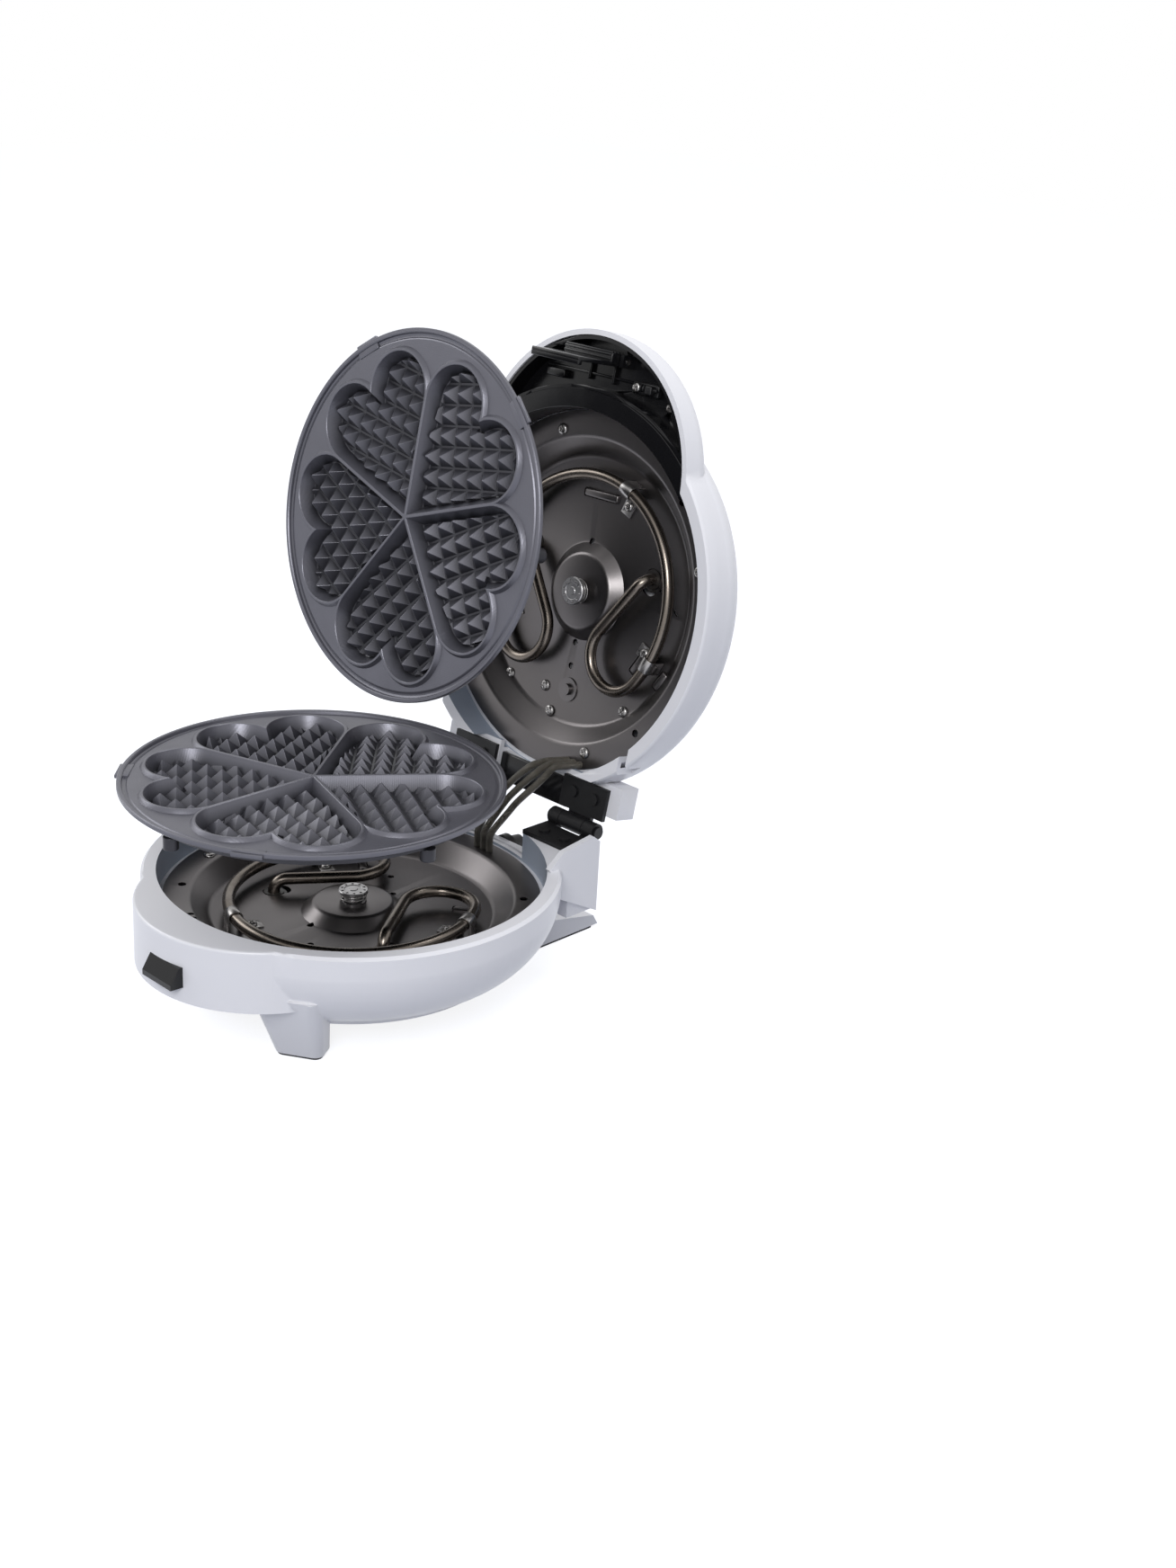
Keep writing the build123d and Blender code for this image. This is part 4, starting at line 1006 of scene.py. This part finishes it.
@dataclass
class Pan:
    """One half's pressed pan with everything that is fixed in it."""

    place: Tray
    body: Body
    half: str
    flange: float = 16.7
    bottom: float = 28.0
    boss: float = 21.6
    sheet: float = 1.0
    screw_circle: float = 92.0
    screw_turn: float = 20.0
    screws: int = 4
    clip_circle: float = 56.75
    clip_angles: tuple[float, ...] = (250.0, 24.0, 156.0)
    punch: float = 1.9  # radius of a screw's hole
    drain: float = 2.2  # radius of the free holes between the screws
    drain_turn: float = 25.0  # from a screw on to the next free hole
    leg: Pair = (46.0, -18.0)
    leg_way: Pair = (-9.0, 35.0)  # the direction in which the element's leg comes up
    slit_turn: float = 34.0
    floor_holes: tuple[Pair, ...] = ()
    bars: tuple[tuple[float, float, float, float], ...] = ()  # x, y, length and turn
    loose_screws: tuple[Point, ...] = ()
    vents: tuple[Point, ...] = ()
    keyholes: bool = False

    @property
    def top(self) -> Profile:
        """The upper face, from the rolled rim to the boss's hole."""
        f, b, t = -self.flange, -self.bottom, -self.boss
        return (
            (101.4, f), (88.6, f), (87.2, f - 0.3), (86.0, f - 1.2), (78.0, b + 1.6), (76.6, b + 0.4),
            (75.0, b), (29.5, b), (28.0, b + 0.3), (27.0, b + 1.2), (22.6, t - 1.2), (21.6, t - 0.3),
            (20.2, t), (6.2, t),
        )

    def screw_places(self, further: float = 0.0) -> list[Pair]:
        """The places of the flange's screws, or of what stands further round from them."""
        return spaced(self.screw_circle, self.screw_turn + further, self.screws)

    def holes(self) -> Piece:
        """Everything that is punched out of the sheet.

        Returns:
            One cutter, in the tray's frame.
        """
        punches = [(x, y, self.punch) for x, y in self.screw_places()]
        punches += [(x, y, self.drain) for x, y in self.screw_places(self.drain_turn)]
        punches += [(x, y, self.punch) for x, y in self.floor_holes]
        tools = [rod("punch", (x, y, -35), (x, y, -10), r, 24, 0) for x, y, r in punches]
        for side in (-1, 1):
            spot = (self.leg[0] * side, self.leg[1], 0)
            way = degrees(atan2(self.leg_way[1], self.leg_way[0] * side))
            hole = block("leg_hole", (-6.0, -5.4, -35), (9.5, 5.4, -20), 4.6, 6)
            tools.append(move(hole, spot, way))
            if self.keyholes:
                slit = block("slit", (0, -0.6, -35), (27, 0.6, -20))
                tools.append(move(slit, spot, self.slit_turn if side > 0 else 180 - self.slit_turn))
        for x, y, turn in self.vents:
            vent = block("vent", (-1.3, -7, -20), (1.3, 7, -10), 1.0)
            tools.append(move(vent, (x, y, 0), turn))
        return join(*tools)

    def build(self) -> Piece:
        """Presses the pan.

        Returns:
            The pan, in the model's frame.
        """
        under = [(r, z - self.sheet) for r, z in reversed(self.top)]
        pan = lathe(f"{self.half}_pan", (*self.top, *under), 128, bored=True)
        pan = cut(pan, self.holes(), overlaps=True)
        bars = []
        for x, y, long, turn in self.bars:
            low, high = -self.bottom - 0.5, -self.bottom + 1.1
            bar = block("pressed_bar", (-long / 2, -2.6, low), (long / 2, 2.6, high), 1.5, 4)
            bars.append(move(bar, (x, y, 0), turn))
        return settle(join(pan, *bars), self.place)

    def dress(self, nodes: dict[str, Piece]) -> None:
        """Builds the pan and its fixings.

        Args:
            nodes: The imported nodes.
        """
        half = self.half
        seat(self.build(), self.body, PAN_STEEL, "pan", f"{half}_reflector_pan")
        spots = [(x, y, -self.flange) for x, y in self.screw_places()]
        heads = Screw(3.3, 1.6).at(f"{half}_flange_screws", self.place, [*spots, *self.loose_screws])
        seat(heads, self.body, ZINC, "bright", f"{half}_pan_screws")
        places = (on_circle(angle, self.clip_circle) for angle in self.clip_angles)
        feet = [(x, y, -self.bottom + 0.8) for x, y in places]
        heads = Screw(3.0, 1.8).at(f"{half}_strap_screws", self.place, feet)
        seat(heads, self.body, ZINC, "bright", f"{half}_clip_screws")
        straps = merged(nodes[f"{half}_tube_clips"], f"{half}_straps")
        seat(smooth(soften(straps, 0.25), 30), self.body, ZINC, "pan", f"{half}_tube_clips")
        tube = merged(nodes[f"{half}_heating_tube"], f"{half}_element", flat=False)
        seat(smooth(tube, 45), self.body, SHEATH, "tube", f"{half}_heating_tube")


@dataclass
class Sensor:
    """The sprung stud that feels a plate's temperature."""

    place: Tray
    body: Body
    half: str
    head: float = -15.0
    long: float = 22.0
    dimples: int = 10
    dimple_circle: float = 6.2

    def build(self) -> Piece:
        """Turns the stud, with two grooves round its head and a ring of dimples on it.

        Returns:
            The stud, in the model's frame.
        """
        h = self.head
        stud = lathe(
            f"{self.half}_stud",
            ((4.6, h - self.long), (5.0, h - self.long + 0.4), (5.0, h - 2.0), (7.6, h - 2.0), (8.0, h - 1.8),
             (8.0, h - 1.4), (7.6, h - 1.2), (7.6, h - 1.0), (8.0, h - 0.8), (8.0, h - 0.4), (7.6, h),
             (5.0, h), (4.7, h - 0.25), (2.4, h - 0.25), (2.1, h), (0.3, h)), 64,
        )
        drills = [
            rod("drill", (x, y, h - 0.7), (x, y, h + 1), 0.8, 12, 0)
            for x, y in spaced(self.dimple_circle, 0.0, self.dimples)
        ]
        return settle(cut(stud, join(*drills)), self.place)

    def dress(self, nodes: dict[str, Piece]) -> None:
        """Builds the stud and finishes its spring.

        Args:
            nodes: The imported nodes.
        """
        body = Body.BASE_STUD if self.body is Body.BASE else Body.LID_STUD
        seat(self.build(), body, ALUMINIUM, "aluminium", f"{self.half}_sensor_stud")
        spring = merged(nodes[f"{self.half}_sensor_spring"], f"{self.half}_spring", flat=False)
        dress(smooth(spring, 50), ZINC)
        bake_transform(spring)
        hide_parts(f"{self.half}_sensor_spring")


@dataclass
class Leads:
    """Three braided sleeves that cross the hinge."""

    base_x: tuple[float, ...] = (-3.0, 2.0, 7.0)
    lid_x: tuple[float, ...] = (-20.0, -25.0, -30.0)
    y: float = 94.0
    radius: float = 2.0
    step: float = 3.0
    sides: int = 16

    def route(self, k: int) -> list[Vector]:
        """One sleeve's route, in millimetres.

        Args:
            k: Which sleeve.

        Returns:
            The control points.
        """
        x, lift = self.base_x[k], self.step * (1 - k)
        over = LID.point(self.lid_x[k], self.y, 2)
        end = LID.point(self.lid_x[k], self.y, -17.7)
        return [
            Vector((x, self.y, 54.3)), Vector((x, self.y, 60)), Vector((x, self.y, 66)),
            Vector((x - 1.5, 109, 77 + lift)), Vector((x - 2, 116.3, 82 + lift)),
            Vector((over.x - 6, over.y - 6, over.z - 6 + lift)), over + Vector((-2.5, -1.2, -1.5)), over,
            end.lerp(over, 0.5), end,
        ]

    def sleeve(self, k: int) -> Piece:
        """One sleeve as a mesh tube that knows how far along and around it each point lies.

        Args:
            k: Which sleeve.

        Returns:
            The sleeve.
        """
        curve = bpy.data.curves.new("sleeve", "CURVE")
        curve.dimensions = "3D"
        curve.bevel_depth = self.radius * MM
        curve.bevel_resolution = self.sides // 4 - 1
        curve.resolution_u = 12
        curve.use_fill_caps = True
        spline = curve.splines.new("NURBS")
        points = self.route(k)
        spline.points.add(len(points) - 1)
        for knot, point in zip(spline.points, points):
            knot.co = (*(point * MM), 1.0)
        spline.order_u = 3
        spline.use_endpoint_u = True
        hold(placed(f"sleeve_{k}", curve))
        bpy.ops.object.convert(target="MESH")
        sleeve = bpy.context.object
        self.measure(sleeve)
        return sleeve

    def measure(self, sleeve: Piece) -> None:
        """Writes the two attributes that the braid follows.

        Args:
            sleeve: The mesh tube, ring after ring of points.
        """
        mesh = sleeve.data
        along = mesh.attributes.new("along", "FLOAT", "POINT")
        around = mesh.attributes.new("around", "FLOAT", "POINT")
        ring = self.sides // 4 * 4
        points = [vertex.co for vertex in mesh.vertices]
        length, last = 0.0, None
        for index in range(ceil(len(points) / ring)):
            loop = points[index * ring : (index + 1) * ring]
            middle = sum(loop, Vector()) / len(loop)
            length += (middle - last).length / MM if last else 0.0
            last = middle
            for j in range(len(loop)):
                along.data[index * ring + j].value = length
                around.data[index * ring + j].value = 2 * pi * j / ring

    def dress(self) -> None:
        """Joins the sleeves and dresses them in their braid, in place of the hinge's leads."""
        piece = join(*(self.sleeve(k) for k in range(3)))
        piece.name = "braided_leads"
        dress(smooth(piece, 60), BRAID)
        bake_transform(piece)
        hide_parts("hinge_leads")
        LOG.info("braided_leads: %d faces", len(piece.data.polygons))


@dataclass
class Handle:
    """The black liner of the handle with the latch and the plate release."""

    nodes: dict[str, Piece]
    x: float = 4.0
    y: float = -131.0
    half: float = 18.0
    thick: float = 7.0
    deep: float = 9.0
    crown: float = 4.5  # top of the latch's block, which its ridges stand over
    plate: float = 2.5  # thickness of the hook's plate
    reach: float = 30.0
    lip: Pair = (4.5, 3.2)
    lever: Pair = (-25.0, -119.0)
    floor: float = -12.0

    def latch(self) -> Piece:
        """The ribbed block with its hook plate and lip.

        Returns:
            The latch, in the model's frame.
        """
        x0, x1 = self.x - self.half, self.x + self.half
        y0, y1 = self.y - self.thick / 2, self.y + self.thick / 2
        back = y1 - self.plate
        parts = [block("latch_block", (x0, y0, -self.deep), (x1, y1, self.crown), 0.8)]
        for y in (y0 + 0.4, y0 + 2.6):
            low, high = (x0 + 0.6, y, self.crown - 0.5), (x1 - 0.6, y + 1.3, self.crown + 0.9)
            parts.append(block("ridge", low, high, 0.4))
        for z in (-2.6, 0.2, 2.8):
            parts.append(block("ridge", (x0 + 0.6, y0 - 0.8, z), (x1 - 0.6, y0 + 0.4, z + 1.6), 0.4))
        lip, deep = self.lip
        parts.append(block("hook", (x0, back, -1), (x1, back + self.plate, self.reach), 0.5))
        parts.append(block("lip", (x0, back + 1, self.reach - deep), (x1, back + lip, self.reach), 0.6))
        return assemble("latch", parts, LID)

    def release(self) -> Piece:
        """The release lever with its thumb stop and sprung pin.

        Returns:
            The lever, in the model's frame.
        """
        x, y = self.lever
        z = self.floor
        lever = block("release_lever", (x - 15.5, y - 3.4, z + 0.3), (x + 3.5, y + 3.4, z + 3.9), 0.9)
        stop = block("thumb_stop", (x - 13.4, y - 2.4, z + 3.4), (x - 8.6, y + 2.4, z + 7.9), 0.8)
        pin = rod("sprung_pin", (x - 16.2, y - 0.4, z + 5.6), (x - 5, y - 0.4, z + 5.6), 1.0)
        parts = [lever, stop, pin]
        for k in (0.0, 2.2):
            section = ((0.9, k), (1.9, k), (2.1, k + 0.5), (1.9, k + 1.0), (0.9, k + 1.0))
            collar = move(lathe("collar", section, 24), turn=90, axis="Y")
            parts.append(move(collar, (x - 7.5, y - 0.4, z + 5.6)))
        return assemble("release_lever", parts, LID)

    def liner_trim(self) -> Piece:
        """Ribs and a stop block on the liner's floor.

        Returns:
            The trim, in the model's frame.
        """
        z = self.floor
        ribs = [
            block("rib", (self.x + dx - 0.8, -128.5, z - 0.3), (self.x + dx + 0.8, -117.4, z + 2.6), 0.5)
            for dx in (-9.0, 9.0)
        ]
        ribs.append(block("cross_rib", (-30, -121.6, z - 0.3), (48, -120.0, z + 1.6), 0.5))
        ribs.append(block("stop_block", (30, -119.5, z - 0.3), (44, -114.6, z + 4.4), 0.9))
        return assemble("liner_ribs", ribs, LID)

    def dress(self) -> None:
        """Builds the handle's inside."""
        liner = merged(self.nodes["handle_liner"], "liner")
        seat(smooth(liner, 30), Body.LID, NYLON, "black", "handle_liner")
        seat(self.latch(), Body.LATCH, NYLON, "black", "latch_hook")
        seat(self.release(), Body.RELEASE, GRAINED_NYLON, "black", "plate_release")
        seat(self.liner_trim(), Body.LID, NYLON, "black")
        x, y = self.lever
        heads = Screw(2.8, 1.6, 0.8).at(
            "release_fixings", LID, [(x, y, self.floor + 4.2), (-48.0, -112.0, self.floor)]
        )
        seat(heads, Body.LID, ZINC, "bright", "release_screws")


@dataclass
class Rest:
    """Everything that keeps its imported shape."""

    nodes: dict[str, Piece]
    subparts: Sequence[dict]  # the record's rows, each with a node and its slot

    def dress(self) -> None:
        """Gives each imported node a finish, which later pieces may stand in for."""
        finishes = {
            "black": NYLON, "black_metal": ENAMELLED_STEEL, "pan": PAN_STEEL, "tube": SHEATH, "bright": ZINC,
            "aluminium": ALUMINIUM, "ceramic": STEATITE, "sleeve": BRAID, "rubber": PAD, "shell": SHELL,
        }
        for part in self.subparts:
            name, slot = part["node"], part["material_slot"]
            node = self.nodes[name]
            if name.endswith("leaf_screws"):
                dress(node, ENAMELLED_STEEL)
            elif name.startswith("earth"):
                dress(node, PAN_STEEL)
            elif slot == "plate":
                face = LOWER_FACE if name == "lower_plate" else UPPER_FACE
                dress(node, plate_finish(face, f"cast_{name}"))
            else:
                dress(node, finishes[slot])


@dataclass(frozen=True)
class Lamp:
    """A rectangular studio lamp aimed at the waffle maker."""

    name: str
    place: Point  # metres
    size: float
    power: float
    target: Point = (0.0, 0.02, 0.14)

    def build(self) -> None:
        """Hangs the lamp."""
        light = bpy.data.lights.new(self.name, "AREA")
        light.size = self.size
        light.energy = self.power
        aim = Vector(self.target) - Vector(self.place)
        turn = aim.to_track_quat("-Z", "Y").to_matrix().to_4x4()
        placed(self.name, light).matrix_world = Matrix.Translation(self.place) @ turn


@dataclass
class Studio:
    """Floor, world, lamps and camera."""

    azimuth: float = 42.93
    elevation: float = 22.157
    roll: float = 3.372
    place: Point = (0.7670, -0.6439, 0.5306)
    lens: float = 46.78
    floor_size: float = 8.0
    glow: float = 0.84  # what the floor adds for the camera, so that it is seen as white
    sky: float = 0.5  # strength of the world's light
    clip: Pair = (0.05, 20.0)
    lamps: tuple[Lamp, ...] = (
        Lamp("key", (1.0, -1.3, 1.2), 0.7, 20.0),
        Lamp("side", (-1.3, -0.5, 1.0), 0.8, 7.0),
        Lamp("top", (0.2, 0.7, 1.6), 0.8, 10.0),
    )

    def build(self) -> None:
        """Sets up the whole studio."""
        self.floor()
        self.world()
        for lamp in self.lamps:
            lamp.build()
        self.camera()
        bpy.context.scene.view_settings.view_transform = "Standard"

    def floor(self) -> None:
        """A pale matt floor that the camera sees as white but for the shadow on it."""
        clear()
        bpy.ops.mesh.primitive_plane_add(size=self.floor_size, location=(0, 0, 0))
        floor = bpy.context.object
        floor.name = "studio_floor"
        material = bpy.data.materials.new("white_floor")
        tree = bare_tree(material)
        seen = self.seen_rays(tree)
        matt = add_node(tree, "BsdfDiffuse", {"Color": PALE_GREY})
        glow = add_node(tree, "Emission", {"Color": WHITE, "Strength": self.glow})
        dark = add_node(tree, "Emission", {"Strength": 0.0})
        lit = add_node(
            tree, "MixShader", {0: seen, 1: dark.outputs["Emission"], 2: glow.outputs["Emission"]}
        )
        both = add_node(tree, "AddShader", {0: matt.outputs["BSDF"], 1: lit.outputs["Shader"]})
        add_node(tree, "OutputMaterial", {"Surface": both.outputs["Shader"]})
        floor.data.materials.append(material)

    def seen_rays(self, tree: Tree) -> Socket:
        """1 for rays that the camera sees directly, in gloss or through glass.

        Args:
            tree: The tree it is added to.

        Returns:
            The socket.
        """
        path = add_node(tree, "LightPath").outputs
        seen = path["Is Camera Ray"]
        for kind in ("Is Glossy Ray", "Is Transmission Ray"):
            either = add_node(tree, "Math", {0: seen, 1: path[kind]}, operation="MAXIMUM")
            seen = either.outputs["Value"]
        return seen

    def world(self) -> None:
        """An even sky that lights softly and is seen as white."""
        world = bpy.data.worlds.new("studio")
        bpy.context.scene.world = world
        tree = bare_tree(world)
        seen = self.seen_rays(tree)
        soft = add_node(tree, "Background", {"Color": SKY, "Strength": self.sky})
        white = add_node(tree, "Background", {"Color": WHITE, "Strength": 1.0})
        both = add_node(
            tree, "MixShader",
            {0: seen, 1: soft.outputs["Background"], 2: white.outputs["Background"]},
        )
        add_node(tree, "OutputWorld", {"Surface": both.outputs["Shader"]})

    def camera(self) -> None:
        """The camera at the photograph's angle."""
        data = bpy.data.cameras.new("photo_camera")
        data.lens = self.lens
        data.clip_start, data.clip_end = self.clip
        camera = placed("photo_camera", data)
        turn = (
            Matrix.Rotation(radians(self.azimuth), 4, "Z")
            @ Matrix.Rotation(radians(90.0 - self.elevation), 4, "X")
            @ Matrix.Rotation(radians(self.roll), 4, "Z")
        )
        camera.matrix_world = Matrix.Translation(self.place) @ turn
        bpy.context.scene.camera = camera


def main() -> None:
    """Builds the waffle maker and its studio."""
    logging.basicConfig(level=logging.INFO, format="%(message)s")
    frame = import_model()
    nodes = frame["nodes"]
    clear()
    Studio().build()
    Rest(nodes, frame["record"]["subparts"]).dress()
    Housing(nodes).build()
    WafflePlate(LOWER_FACE, Body.LOWER_PLATE).dress()
    WafflePlate(UPPER_FACE, Body.UPPER_PLATE).dress()
    Pan(
        BASE, Body.BASE, "base",
        floor_holes=((-0.4, -29.1), (-2.2, 30.2), (17, -43), (-20, 44)),
        bars=((39.0, 47.0, 15.0, 35.0), (-42.0, 42.0, 15.0, -35.0)),
        vents=((-34.5, -87.5, -22.0), (-29.5, -89.2, -19.0), (-24.5, -90.6, -16.0), (-19.3, -91.6, -12.0)),
    ).dress(nodes)
    Pan(
        LID, Body.LID, "lid",
        floor_holes=((3.4, -28.4), (1.4, 30.2), (1.3, 44.1)),
        bars=((2.8, -55.0, 26.0, 1.0), (-48.0, 30.0, 14.0, 60.0), (-66.0, 35.0, 12.0, 60.0)),
        loose_screws=((47.1, 60.9, -28), (17.7, 60.4, -28), (10.4, 73.6, -27.6), (-44.0, 59.0, -28)),
        keyholes=True,
    ).dress(nodes)
    Sensor(BASE, Body.BASE, "base").dress(nodes)
    Sensor(LID, Body.LID, "lid", long=17.0).dress(nodes)
    Leads().dress()
    Handle(nodes).dress()
    clear()


if __name__ == "__main__":
    main()
